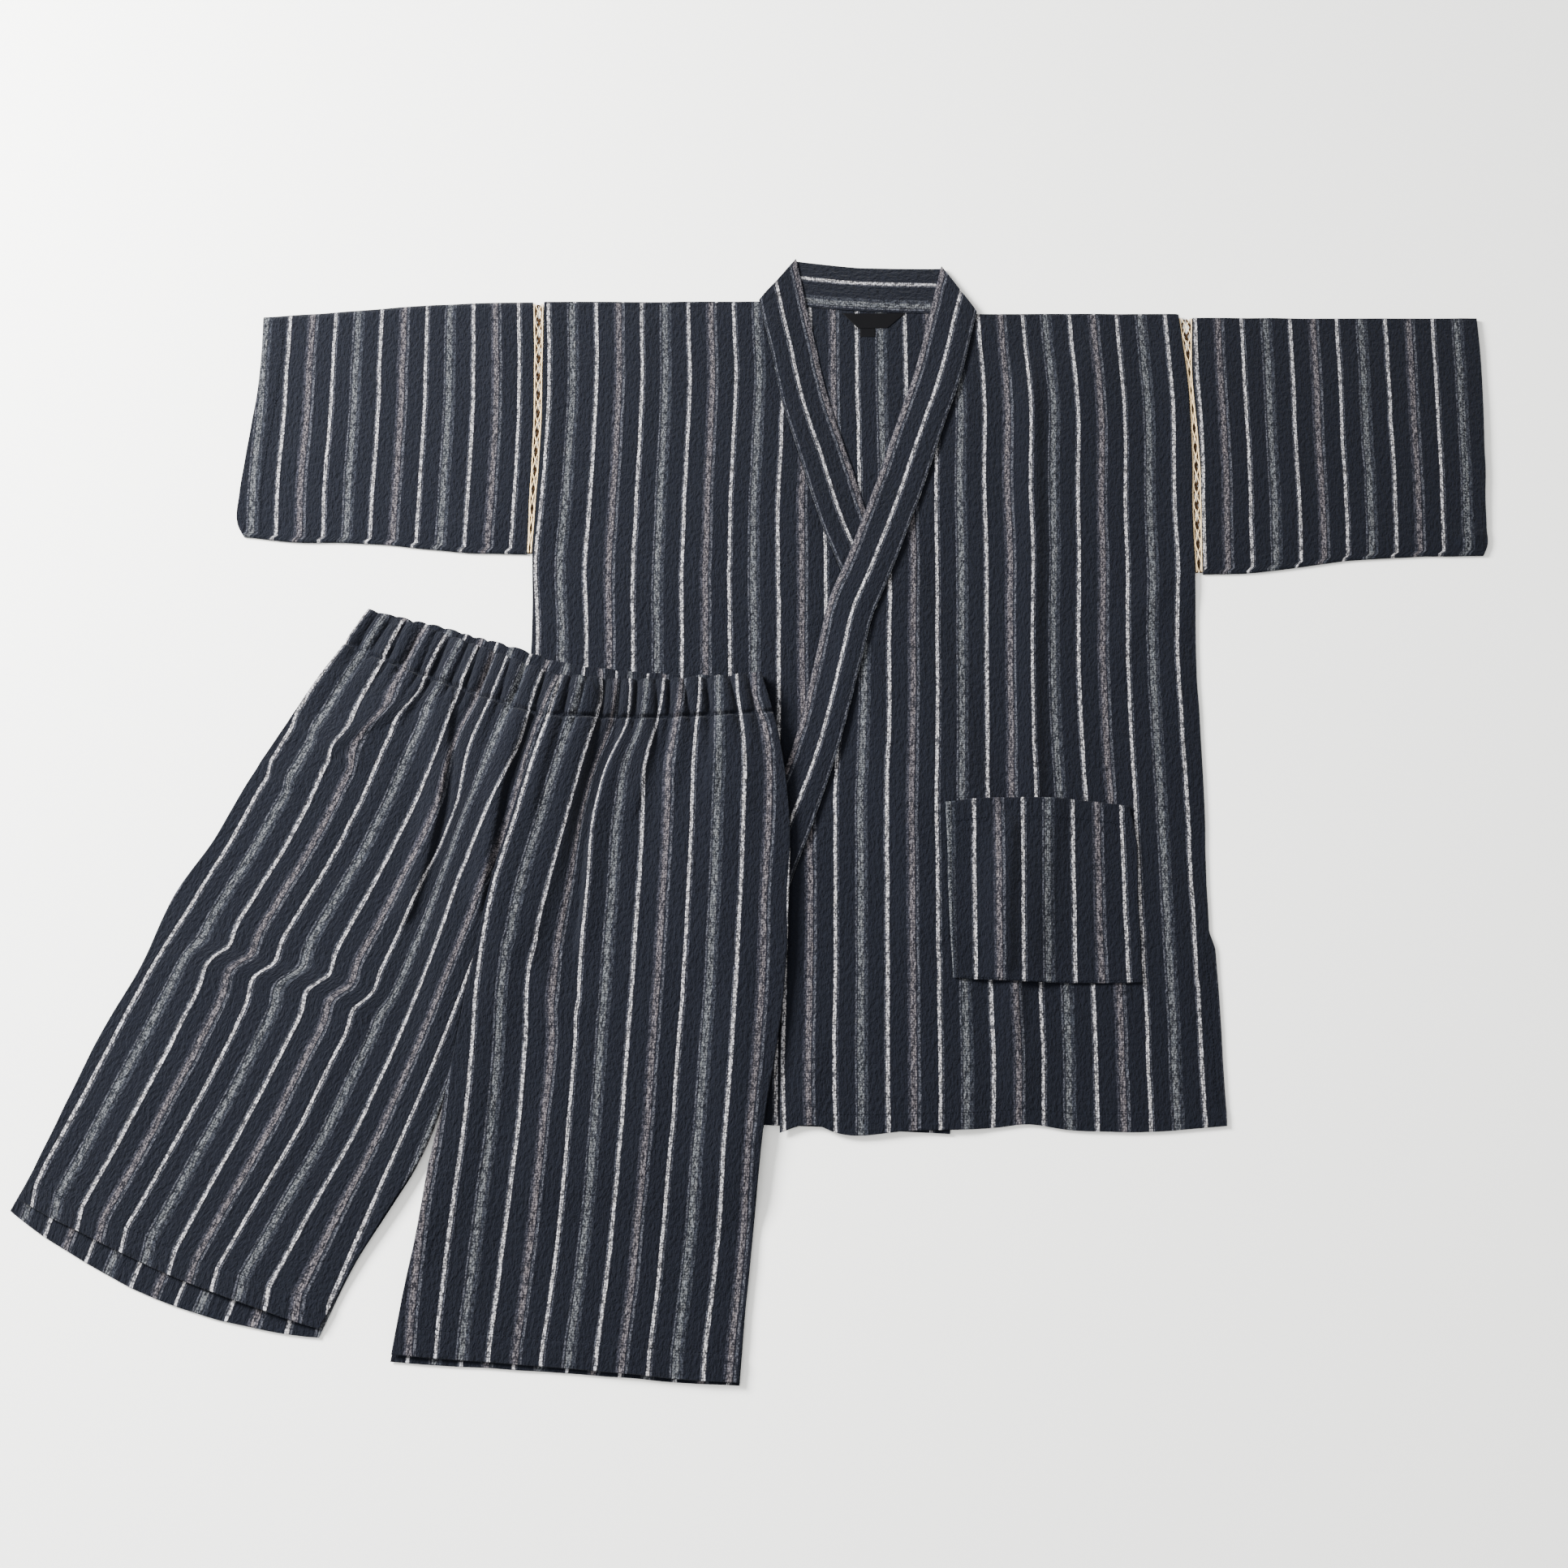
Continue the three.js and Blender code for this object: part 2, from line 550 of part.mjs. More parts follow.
const backCover = gridOfRows([
  [-252, BACK_SHOULDER_RIGHT, 414, BACK_SHOULDER_LEFT], [-252, 214, 409, 214], [-251, BACK_HEM, 397, BACK_HEM],
], 12);
layDown(setOnFloor(backCover, CLOTH));
const neckband = setOnFloor(gridOfRows(NECKBAND, 8), BAND);
layDown(neckband);

// Second layer: the right front with its collar arm, the front lace strips and the labels

const laceFrontBase = CLOTH + GAP;
addPiece('lace_right_front', laceGeometry(LACE_RIGHT, laceFrontBase), LACE);
addPiece('lace_left_front', laceGeometry(LACE_LEFT, laceFrontBase), LACE);
addPiece('neck_label', flatGeometry(NECK_LABEL, [], CLOTH + GAP, LABEL), BLACK);
addPiece('size_tag', flatGeometry(SIZE_TAG, [], CLOTH + GAP, LABEL), BLACK);

const rightFront = setHeights(
  frontGrid(rightBodyEdge, COLLAR_RIGHT, FRONT_RIGHT_EDGE, BACK_SHOULDER_RIGHT - SHOULDER_INSET,
    HEM_FRONT_RIGHT, true, 9),
  CLOTH, REACH.front, frontLift,
);
const rightArm = setHeights(gridOfRows(refineRows(collarArmRows(COLLAR_RIGHT, true), 30), 2), BAND, REACH.front);
layDown(rightFront);
layDown(rightArm);
addPiece('jacket_front_right', wallGeometry(rightFront), STRIPED);

// Third layer: the left front with its collar arm, over the right one

const leftFront = setHeights(
  frontGrid(leftBodyEdge, COLLAR_LEFT, FRONT_LEFT_EDGE, BACK_SHOULDER_LEFT - SHOULDER_INSET,
    HEM_FRONT_LEFT, false, 11),
  CLOTH, REACH.front, frontLift,
);
const leftArm = setHeights(gridOfRows(refineRows(collarArmRows(COLLAR_LEFT, false), 30), 2), BAND, REACH.front);
layDown(leftFront);
layDown(leftArm);
addPiece('jacket_front_left', wallGeometry(leftFront), STRIPED);
addPiece('collar', joined([
  wallGeometry(neckband), wallGeometry(rightArm), wallGeometry(leftArm),
  foldRoll([-25, 515.3], [13, 564]), foldRoll([161, 556], [196, 502]),
]), STRIPED);

// On top of the left front: the patch pocket

const pocket = setHeights(
  gridOfRows(refineRows(POCKET, 30), 6), CLOTH, REACH.pocket,
  ({ s, t }) => POCKET_GAPE * Math.sin(Math.PI * s) * Math.max(0, 1 - 2.5 * t),
);
layDown(pocket);
addPiece('pocket', wallGeometry(pocket), STRIPED);

// Over everything: the shorts, the back panels first

const LEGS = [
  { name: 'shorts_right', table: LEG_RIGHT, seamSide: -1, waist: BACK_WAIST_RIGHT, hem: BACK_HEM_RIGHT },
  { name: 'shorts_left', table: LEG_LEFT, seamSide: 1, waist: BACK_WAIST_LEFT, hem: BACK_HEM_LEFT },
];
const legBacks = LEGS.map(({ table, seamSide, waist, hem }) => (
  setHeights(legGrid(table, seamSide, waist, hem), CLOTH, REACH.legBack, gatherLift)
));
legBacks.forEach(layDown);

LEGS.forEach(({ name, table, seamSide }, leg) => {
  const front = legGrid(table, seamSide);
  front.forEach((row, i) => row.forEach((point, j) => {
    const onBack = legBacks[leg][i][j].top + GAP;
    const resting = Math.max(onBack, restingHeight(point.x, point.y, REACH.legFront));
    point.base = resting + gatherLift(point) + foldLift(point) + legLoft(point);
    point.top = point.base + CLOTH;
  }));
  addPiece(`${name}_back`, wallGeometry(legBacks[leg]), STRIPED);
  addPiece(`${name}_front`, wallGeometry(front), STRIPED);
});

// The origin is on the floor, under the middle of the whole set

const bounds = new THREE.Box3().setFromObject(group);
const middle = bounds.getCenter(new THREE.Vector3());
group.position.set(-middle.x, -middle.y, -bounds.min.z);
group.updateMatrixWorld(true);

export default group;
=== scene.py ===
# %% [markdown]
# # A jinbei set laid flat
# A jinbei is Japanese summer wear: a wrap-front jacket with short sleeves, and loose gathered
# shorts. This set is sewn from navy cotton crepe with woven stripes. It lies on a pale floor,
# the shorts over the lower corner of the jacket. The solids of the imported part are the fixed
# frame. Every visible piece here is a thin shell of cloth that lies where its solid lies.

# %% Load the frame and keep its size
import math

import bpy
import numpy as np
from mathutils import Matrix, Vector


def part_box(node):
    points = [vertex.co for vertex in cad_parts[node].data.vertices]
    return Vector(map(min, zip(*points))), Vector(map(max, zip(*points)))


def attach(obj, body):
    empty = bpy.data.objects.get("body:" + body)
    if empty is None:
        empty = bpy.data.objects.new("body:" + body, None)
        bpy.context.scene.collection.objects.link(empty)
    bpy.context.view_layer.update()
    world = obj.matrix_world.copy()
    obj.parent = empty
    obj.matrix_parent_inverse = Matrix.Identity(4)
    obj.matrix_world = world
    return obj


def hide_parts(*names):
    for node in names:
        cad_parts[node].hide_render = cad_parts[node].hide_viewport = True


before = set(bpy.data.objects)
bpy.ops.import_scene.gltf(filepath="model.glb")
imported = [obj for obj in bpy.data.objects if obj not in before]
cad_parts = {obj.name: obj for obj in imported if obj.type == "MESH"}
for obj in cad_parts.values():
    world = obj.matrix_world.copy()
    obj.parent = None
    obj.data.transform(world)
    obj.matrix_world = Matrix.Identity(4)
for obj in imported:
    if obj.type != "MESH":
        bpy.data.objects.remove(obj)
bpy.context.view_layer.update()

# %% [markdown]
# ## Layout millimetres
# The pattern pieces are measured in millimetres on the floor, +X to the viewer's right and +Y
# towards the collar. The part's own origin is elsewhere, under the middle of the set. The neck
# label's lower left corner is known in both, so it gives the step from one to the other.

# %% From layout millimetres to the part's metres
MM = 0.001
LABEL_CORNER = (60.0, 486.0)
label_low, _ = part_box("neck_label")
SHIFT = np.array([label_low.x / MM - LABEL_CORNER[0], label_low.y / MM - LABEL_CORNER[1], 0.0])


def to_frame(x, y, z):
    """Layout millimetres as metres in the part's frame, one row for each point."""
    return (np.stack([x, y, z], axis=-1) + SHIFT) * MM


print("layout origin in the part's frame, mm:", SHIFT.round(2))

# %% [markdown]
# ## Cloth sizes
# Each layer is taken as 1.2 mm of height, which is the crepe with its crinkle. The shells could
# have that full thickness, but then layers would touch where they sag. So the shell that shows is
# a little thinner, and thinner still for the back and where a piece is folded on itself.

# %% Driving sizes
CLOTH = 1.2
SHELL = 0.9
THIN_SHELL = 0.7  # for the back, and for pieces that are folded on themselves
GAP = 0.3
PITCH = 23.7  # from one stripe to the next
REPEAT = 4 * PITCH  # wide, thin, wide, thin
CASING = 40.0  # the shorts' waist casing, down to its stitch line
LEG_LENGTH = 635.0
LEG_HEM = 23.0  # turned up at the bottom of each leg
JACKET_HEM = 15.0
print("one repeat of the stripes takes, mm:", REPEAT)

# %% [markdown]
# ## Reading the tables
# Outlines and stripes are written as short tables, as a pattern cutter notes a few measured
# points. Straight lines between them would show corners, and a Bezier curve would need handles
# for each point. A curve that runs smoothly through the rows makes rounded edges from few
# numbers: each row's slope comes from its two neighbours.


# %% A smooth curve through the rows of a table
def smooth(keys, values, at):
    """Values at any key, on a smooth curve through (keys, values), straight beyond the ends."""
    keys = np.asarray(keys, float)
    values = np.asarray(values, float)
    if keys[0] > keys[-1]:
        keys = keys[::-1]
        values = values[::-1]
    at = np.asarray(at, float)
    slope = np.gradient(values, keys)
    left = np.clip(np.searchsorted(keys, at) - 1, 0, len(keys) - 2)
    width = keys[left + 1] - keys[left]
    share = (at - keys[left]) / width
    inside = np.clip(share, 0, 1)
    square = inside * inside
    cube = square * inside
    value = (
        (2 * cube - 3 * square + 1) * values[left]
        + (cube - 2 * square + inside) * width * slope[left]
        + (3 * square - 2 * cube) * values[left + 1]
        + (cube - square) * width * slope[left + 1]
    )
    beyond = (share - inside) * width
    return value + beyond * np.where(share < 0, slope[left], slope[left + 1])


def mix(a, b, share):
    return a + (b - a) * share


print("halfway between 0 and 10:", float(smooth([0, 1], [0, 10], 0.5)))

# %% [markdown]
# ## Gentle unevenness
# Cloth that a hand has smoothed flat is never quite flat. A cloth simulation could give that, but
# it would also move the edges. A lattice of seeded random heights, blended smoothly between its
# points, gives low swells of any chosen size, and the same ones on each run.

# %% Seeded swells
LATTICE = 96  # heights along each side of the lattice
LATTICE_START = -2000  # its first corner, in layout millimetres


def swell(x, y, size, seed):
    """Smooth noise from -1 to 1 whose bumps are about `size` millimetres apart."""
    lattice = np.random.default_rng(seed).uniform(-1, 1, (LATTICE, LATTICE))
    column = (np.asarray(x) - LATTICE_START) / size
    row = (np.asarray(y) - LATTICE_START) / size
    c0 = np.floor(column).astype(int)
    r0 = np.floor(row).astype(int)
    u = column - c0
    v = row - r0
    u = u * u * (3 - 2 * u)
    v = v * v * (3 - 2 * v)
    left = c0 % LATTICE
    right = (c0 + 1) % LATTICE
    low, high = [mix(lattice[r % LATTICE, left], lattice[r % LATTICE, right], u) for r in (r0, r0 + 1)]
    return mix(low, high, v)


def uneven(x, y, seed, sizes):
    """Swells of several sizes together, each given as (height in mm, size in mm)."""
    return sum(rise * swell(x, y, size, seed + k) for k, (rise, size) in enumerate(sizes))


print("largest of some swells:", round(float(np.abs(swell(np.arange(500), 0, 28, 12)).max()), 2))

# %% Creep of the laid cloth
CREEP_X = ((0.8, 90), (0.4, 28))
CREEP_Y = ((0.8, 80), (0.4, 26))


def drift(x, y):
    """Each point of the laid cloth, crept a little sideways. Neighbours creep together."""
    return x + uneven(x, y, 11, CREEP_X), y + uneven(x, y, 13, CREEP_Y)


print("creep at the layout's origin, mm:", [round(float(v), 2) for v in drift(0, 0)])

# %% [markdown]
# ## The tray: laying one layer on another
# Panels are laid in the order in which the set was laid out. Each could be dropped by a cloth
# simulation, but its outline would shift. Instead a tray keeps the height that has been reached
# over each 4 mm square of floor. A new panel takes the height of what is under it, holds it a
# little past each edge, and slopes down: that is what `settled` works out.

# %% The tray
CELL = 4.0  # side of one square
TRAY_X, TRAY_Y = -760.0, -640.0
TRAY_ROWS, TRAY_COLUMNS = 330, 390
tray = np.zeros((TRAY_ROWS, TRAY_COLUMNS))


def cells(x, y):
    return (np.asarray(y) - TRAY_Y) / CELL, (np.asarray(x) - TRAY_X) / CELL


def lay(x, y, z):
    """Records the top of a panel."""
    row, column = cells(x, y)
    for r in (np.floor(row), np.ceil(row)):
        for c in (np.floor(column), np.ceil(column)):
            np.maximum.at(tray, (r.astype(int), c.astype(int)), z)


print("tray covers, mm:", [round(n * CELL) for n in tray.shape])


# %% The surface that a new panel lies on
def neighbours(field):
    """The field moved by one square each way, and itself: nine copies."""
    wide = np.pad(field, 1, mode="edge")
    rows, columns = field.shape
    return [wide[i : i + rows, j : j + columns] for i in range(3) for j in range(3)]


def settled(reach):
    """The tray's surface, sloping down within `reach` mm of each edge."""
    steps = max(1, round(reach / CELL))
    field = tray.copy()
    for _ in range(steps):
        field = np.maximum.reduce(neighbours(field))
    for _ in range(steps):
        field = sum(neighbours(field)) / 9
    return field


def height(field, x, y):
    """The height of a settled surface at any place."""
    row, column = cells(x, y)
    r0 = np.floor(row).astype(int)
    c0 = np.floor(column).astype(int)
    low, high = [mix(field[r, c0], field[r, c0 + 1], column - c0) for r in (r0, r0 + 1)]
    return mix(low, high, row - r0)


print("highest point of the empty tray, mm:", float(settled(CELL).max()))

# %% [markdown]
# ## Creases
# Real creases come from wear, pressing and the way the cloth was put down. Sculpting brushes
# could draw them, but not in a script that gives the same cloth each time. Here a crease is a soft
# ridge along a short path of points. It is lower towards its ends, and one side may be steeper
# than the other, as in a pleat that leans over. A negative height makes a trough.


# %% Distance and strength along a path
def from_path(x, y, path, fade):
    """How far each point is from a path, above 0 on its right, and a strength that fades at its ends."""
    path = np.asarray(path, float)
    runs = np.hypot(*np.diff(path, axis=0).T)
    nearest = np.full(np.shape(x), np.inf)
    signed = np.zeros(np.shape(x))
    share = np.zeros(np.shape(x))
    start = 0.0
    for (ax, ay), (bx, by), run in zip(path[:-1], path[1:], runs):
        ux, uy = (bx - ax) / run, (by - ay) / run
        along = np.clip((x - ax) * ux + (y - ay) * uy, 0, run)
        away = np.hypot(x - ax - along * ux, y - ay - along * uy)
        side = np.where((x - ax) * uy - (y - ay) * ux < 0, -1, 1)
        closer = away < nearest
        signed = np.where(closer, side * away, signed)
        share = np.where(closer, (start + along) / runs.sum(), share)
        nearest = np.minimum(nearest, away)
        start += run
    strength = np.clip(np.minimum(share, 1 - share) / fade, 0, 1)
    return signed, strength * strength * (3 - 2 * strength)


ACROSS = [(0, 0), (100, 0)]
print("3 mm to the left of a path:", from_path(np.array(50.0), np.array(3.0), ACROSS, 0.3)[0].round(2))


# %% Ridges and troughs, and stripes that step aside over them
def crease(x, y, path, rise, left, right, fade=0.3):
    """Height of a crease with its own width on each side, looking along the path."""
    away, strength = from_path(x, y, path, fade)
    width = np.where(away < 0, left, right)
    return rise * strength * np.exp(-((away / width) ** 2))


def creases(x, y, table):
    return sum(crease(x, y, *row) for row in table)


FULL_SWING = 2.33  # makes the largest sidestep as long as its row says


def sidestep(x, y, path, shift, width):
    """How far stripes step aside where a fold crosses them: one way before it, the other behind."""
    away, strength = from_path(x, y, path, 0.25)
    swing = away / width
    return FULL_SWING * shift * strength * swing * np.exp(-swing * swing)


print("crest of a 2 mm crease:", float(crease(np.array(50.0), np.array(0.0), ACROSS, 2, 9, 9)))

# %% [markdown]
# ## Grain: where the stripes run
# On real cloth the stripes are straight, and folds and handling bend them. A pattern in object
# coordinates would stay straight and slide under the folds. So each panel gets the cloth's own
# coordinates, from a grain table that says where some of the stripes lie: a row for each height on
# the floor, a column for each stripe. Stripe 0 is a wide warm one, 1 a thin one, 2 a wide cool
# one, 3 a thin one, and so on.

# %% Stripe numbers from a grain table
LEAST_PITCH = 0.9 * PITCH
MOST_PITCH = 1.2 * PITCH


def stripe_at(grain, x, y):
    """The stripe number at each place, whole at the middle of a stripe."""
    numbers, rows = grain
    rows = np.asarray(rows, float)
    lines = [smooth(rows[:, 0], rows[:, 1 + k], y) for k in range(len(numbers))]
    first = np.clip((lines[1] - lines[0]) / (numbers[1] - numbers[0]), LEAST_PITCH, MOST_PITCH)
    last = np.clip((lines[-1] - lines[-2]) / (numbers[-1] - numbers[-2]), LEAST_PITCH, MOST_PITCH)
    result = numbers[0] + (x - lines[0]) / first
    for k in range(1, len(numbers)):
        share = (x - lines[k - 1]) / (lines[k] - lines[k - 1])
        between = numbers[k - 1] + share * (numbers[k] - numbers[k - 1])
        past = numbers[k] + (x - lines[k]) / last
        result = np.where(share >= 0, between, result)
        result = np.where(share > 1, past, result)
    return result


GRAIN_BACK = ((0, 3), [(463, 50.9, 122.6), (363, 51, 122), (-320, 50, 121)])
print("stripe at x = 50.9 on the back:", float(stripe_at(GRAIN_BACK, np.array(50.9), np.array(463.0))))

# %% [markdown]
# ## From a grid to a panel
# A panel could be cut from a plane with its outline, but its faces would be uneven where it
# folds. Each panel starts as Blender's own grid instead. Its rows and columns are spread out over
# the pattern piece, closer together along the edges, where the cloth turns over. The wall is then
# given by the Solidify modifier, which grows downwards from the face that shows.

# %% Add a grid and spread it
EDGE_STEPS = (0.0, 0.5, 1.2, 2.4)  # columns along an edge, in mm from it


def spaced(share, length):
    """Even shares from 0 to 1, with the columns next to both ends drawn close to the edge."""
    levels = np.unique(share.round(6))
    places = levels.copy()
    for k, step in enumerate(EDGE_STEPS):
        places[k] = step / length
        places[-1 - k] = 1 - step / length
    inner = slice(len(EDGE_STEPS) - 1, len(places) - len(EDGE_STEPS) + 1)
    places[inner] = np.linspace(places[inner][0], places[inner][-1], len(places[inner]))
    return np.interp(share, levels, places)


def add_grid(name, across, along):
    """Blender's grid, 2 units wide, with so many faces each way, and the places of its corners."""
    bpy.ops.object.select_all(action="DESELECT")
    bpy.ops.mesh.primitive_grid_add(x_subdivisions=across, y_subdivisions=along, size=2)
    piece = bpy.context.object
    piece.name = name
    piece.data.name = name
    corners = np.empty(len(piece.data.vertices) * 3)
    piece.data.vertices.foreach_get("co", corners)
    return piece, corners.reshape(-1, 3)


def grid(name, width, length, cell, long_cell=None):
    """A new grid with faces of about `cell` mm, and the two shares (s, t) of its corners."""
    across = max(8, round(width / cell))
    along = max(8, round(length / (long_cell or cell)))
    piece, corners = add_grid(name, across, along)
    return piece, spaced((corners[:, 0] + 1) / 2, width), spaced((1 - corners[:, 1]) / 2, length)


print("columns at an edge, mm:", EDGE_STEPS)


# %% Edges that turn over, and soft steps and lines across a piece
def rolled(s, t, width, length, radius):
    """How far the face drops where it turns over at its four edges, in mm."""
    drop = 0
    for away in (s * width, (1 - s) * width, t * length, (1 - t) * length):
        inward = radius - np.clip(away, 0, radius)
        drop = drop + radius - np.sqrt(np.maximum(radius * radius - inward * inward, 0))
    return drop


def quarter_round(away, radius):
    """0 at a fold and 1 from `radius` mm on, along a quarter of a circle."""
    return np.sqrt(np.clip(1 - (1 - np.clip(away / radius, 0, 1)) ** 2, 0, 1))


def within(distance, edge, softness):
    """1 nearer than `edge` and 0 past it, with a soft step between."""
    return 1 / (1 + np.exp(np.clip((distance - edge) / softness, -30, 30)))


def line_at(distance, place, width):
    """1 on a line and 0 away from it, falling off within about `width` mm."""
    return np.exp(-(((distance - place) / width) ** 2))


print("half way round a fold:", quarter_round(1.0, 2.0).round(2))
print("beside a line:", line_at(1.0, 0.0, 1.0).round(2))


# %% Put the corners in place and give the wall
def shape(piece, x, y, z, u, v):
    """Moves the corners to layout places, and writes the cloth's own millimetres as its UV map."""
    piece.data.vertices.foreach_set("co", to_frame(*drift(x, y), z).ravel())
    layer = piece.data.uv_layers[0]
    layer.name = "cloth"
    loops = np.empty(len(piece.data.loops), int)
    piece.data.loops.foreach_get("vertex_index", loops)
    layer.data.foreach_set("uv", (np.stack([u, v], axis=-1)[loops] * MM).ravel())
    piece.data.update()


def in_edit_mode(*steps):
    """Runs mesh operators, each given with its settings, on the whole of the active piece."""
    bpy.ops.object.mode_set(mode="EDIT")
    for operator, settings in steps:
        bpy.ops.mesh.select_all(action="SELECT")
        operator(**settings)
    bpy.ops.object.mode_set(mode="OBJECT")


TURN_OVER = (bpy.ops.mesh.flip_normals, {})  # for a grid that was wrapped the other way round


def apply_wall(piece, thickness=SHELL, angle=50):
    """A wall grown downwards from the face that shows, and soft shading."""
    bpy.ops.object.select_all(action="DESELECT")
    piece.select_set(True)
    bpy.context.view_layer.objects.active = piece
    bpy.ops.object.modifier_add(type="SOLIDIFY")
    wall = piece.modifiers[-1]
    wall.thickness = thickness * MM
    wall.offset = -1
    bpy.ops.object.modifier_apply(modifier=wall.name)
    bpy.ops.object.shade_smooth_by_angle(angle=math.radians(angle))


print("walls of the shells, mm:", SHELL, "and", THIN_SHELL)

# %% [markdown]
# ## Striped cotton crepe
# Crepe is woven from hard-twisted yarn that crinkles the cloth. It gives the eye a matt, dry
# surface with tiny pits. The stripes are woven in: warp yarns in pale cotton run up the cloth,
# and the navy weft crosses them, so a stripe is speckled and never solid. Wave textures could
# draw even stripes, but these come in four kinds with fine edge lines. So colour ramps hold one
# whole repeat, measured across the cloth in millimetres.


# %% Colours and one helper for nodes
def colour(hex_value):
    """An sRGB hex colour as linear red, green, blue and alpha."""
    parts = [int(hex_value[k : k + 2], 16) / 255 for k in (1, 3, 5)]
    return [p / 12.92 if p <= 0.04045 else ((p + 0.055) / 1.055) ** 2.4 for p in parts] + [1.0]


def add_node(tree, kind, settings=None, links=None):
    """Adds a node. Settings name its properties or its inputs, links name where inputs come from."""
    node = tree.nodes.new(kind)
    for name, value in (settings or {}).items():
        if isinstance(name, int) or name in node.inputs:
            node.inputs[name].default_value = value
        else:
            setattr(node, name, value)
    for name, (source, output) in (links or {}).items():
        tree.links.new(source.outputs[output], node.inputs[name])
    return node


def new_material(name):
    """A material with nothing in it but its output."""
    material = bpy.data.materials.new(name)
    material.use_nodes = True
    material.node_tree.nodes.clear()
    return material, material.node_tree


NAVY = "#0a0d15"
print("navy as linear:", [round(c, 4) for c in colour(NAVY)])

# %% The stripes of one repeat, in millimetres across the cloth
LINE = "#484a50"
WARM_EDGE = "#2b2c33"
WARM_SIDE = "#3a3a40"
WARM = "#625e60"
COOL = "#5c5f61"
COOL_EDGE = "#2e3137"
WHITE = "#bcbbbc"

# A ramp holds 32 stops at most, so the repeat takes two: one up to the navy in its middle
FIRST_HALF = [
    (-6.0, NAVY), (-5.7, WARM_EDGE), (-3.2, WARM_SIDE), (-2.5, WARM), (1.7, WARM), (2.2, NAVY),
    (2.9, NAVY), (3.3, LINE), (5.4, LINE), (5.8, NAVY),
    (21.4, NAVY), (21.7, WHITE), (24.4, WHITE), (24.7, NAVY), (25.3, NAVY), (25.6, LINE), (26.3, LINE),
    (26.6, NAVY),
]
SECOND_HALF = [
    (41.4, NAVY), (41.8, LINE), (43.0, LINE), (43.3, NAVY), (43.9, NAVY), (44.3, COOL), (49.2, COOL),
    (49.8, COOL_EDGE), (53.2, COOL_EDGE), (53.6, NAVY),
    (68.2, NAVY), (68.5, LINE), (69.2, LINE), (69.5, NAVY), (70.1, WHITE), (72.9, WHITE), (73.2, NAVY),
]
MIDDLE_OF_REPEAT = 34
STRIPE_START = 12.0  # the ramps start in the navy, this far before stripe 0
FRAY = 1.2  # how far the stripes' edges waver, in mm
print("stops in one repeat:", len(FIRST_HALF) + len(SECOND_HALF))


# %% A ramp of stripes, and a place on the cloth scaled to a yarn
def stripe_ramp(tree, share, part):
    """Half of the repeat as a colour ramp."""
    ramp = add_node(tree, "ShaderNodeValToRGB", links={0: (share, 0)})
    stops = ramp.color_ramp.elements
    for k, (place, hex_value) in enumerate(part):
        position = ((place + STRIPE_START) / REPEAT) % 1
        stop = stops[k] if k < 2 else stops.new(position)
        stop.position = position
        stop.color = colour(hex_value)
    return ramp


def scaled(tree, cloth, across, along):
    """The cloth's coordinates in steps of so many millimetres across and along the warp."""
    return add_node(tree, "ShaderNodeMapping", {"Scale": (1 / (across * MM), 1 / (along * MM), 1.0)},
                    {"Vector": (cloth, 0)})


def stripes_of(tree, cloth):
    """The woven stripes, with edges that waver a little."""
    axes = add_node(tree, "ShaderNodeSeparateXYZ", links={0: (cloth, 0)})
    fray = add_node(tree, "ShaderNodeTexNoise", {"Scale": 420.0, "Detail": 2.0}, {"Vector": (cloth, 0)})
    frayed = add_node(tree, "ShaderNodeMath",
                      {"operation": "MULTIPLY_ADD", 1: FRAY * MM, 2: (STRIPE_START - 0.5 * FRAY) * MM},
                      {0: (fray, 0)})
    across = add_node(tree, "ShaderNodeMath", {"operation": "ADD"}, {0: (axes, 0), 1: (frayed, 0)})
    repeats = add_node(tree, "ShaderNodeMath", {"operation": "DIVIDE", 1: REPEAT * MM}, {0: (across, 0)})
    share = add_node(tree, "ShaderNodeMath", {"operation": "FRACT"}, {0: (repeats, 0)})
    ramps = [stripe_ramp(tree, share, part) for part in (FIRST_HALF, SECOND_HALF)]
    half = add_node(tree, "ShaderNodeMath",
                    {"operation": "GREATER_THAN", 1: (MIDDLE_OF_REPEAT + STRIPE_START) / REPEAT},
                    {0: (share, 0)})
    return add_node(tree, "ShaderNodeMix", {"data_type": "RGBA"},
                    {0: (half, 0), 6: (ramps[0], 0), 7: (ramps[1], 0)})


print("the stripes' edges waver, mm:", FRAY)

# %% The weave over the stripes
THREAD = 1.6  # the real threads are 0.5 mm apart; drawn coarser so that they still show


def mixed(tree, settings, links):
    return add_node(tree, "ShaderNodeMix", {"data_type": "RGBA"} | settings, links)


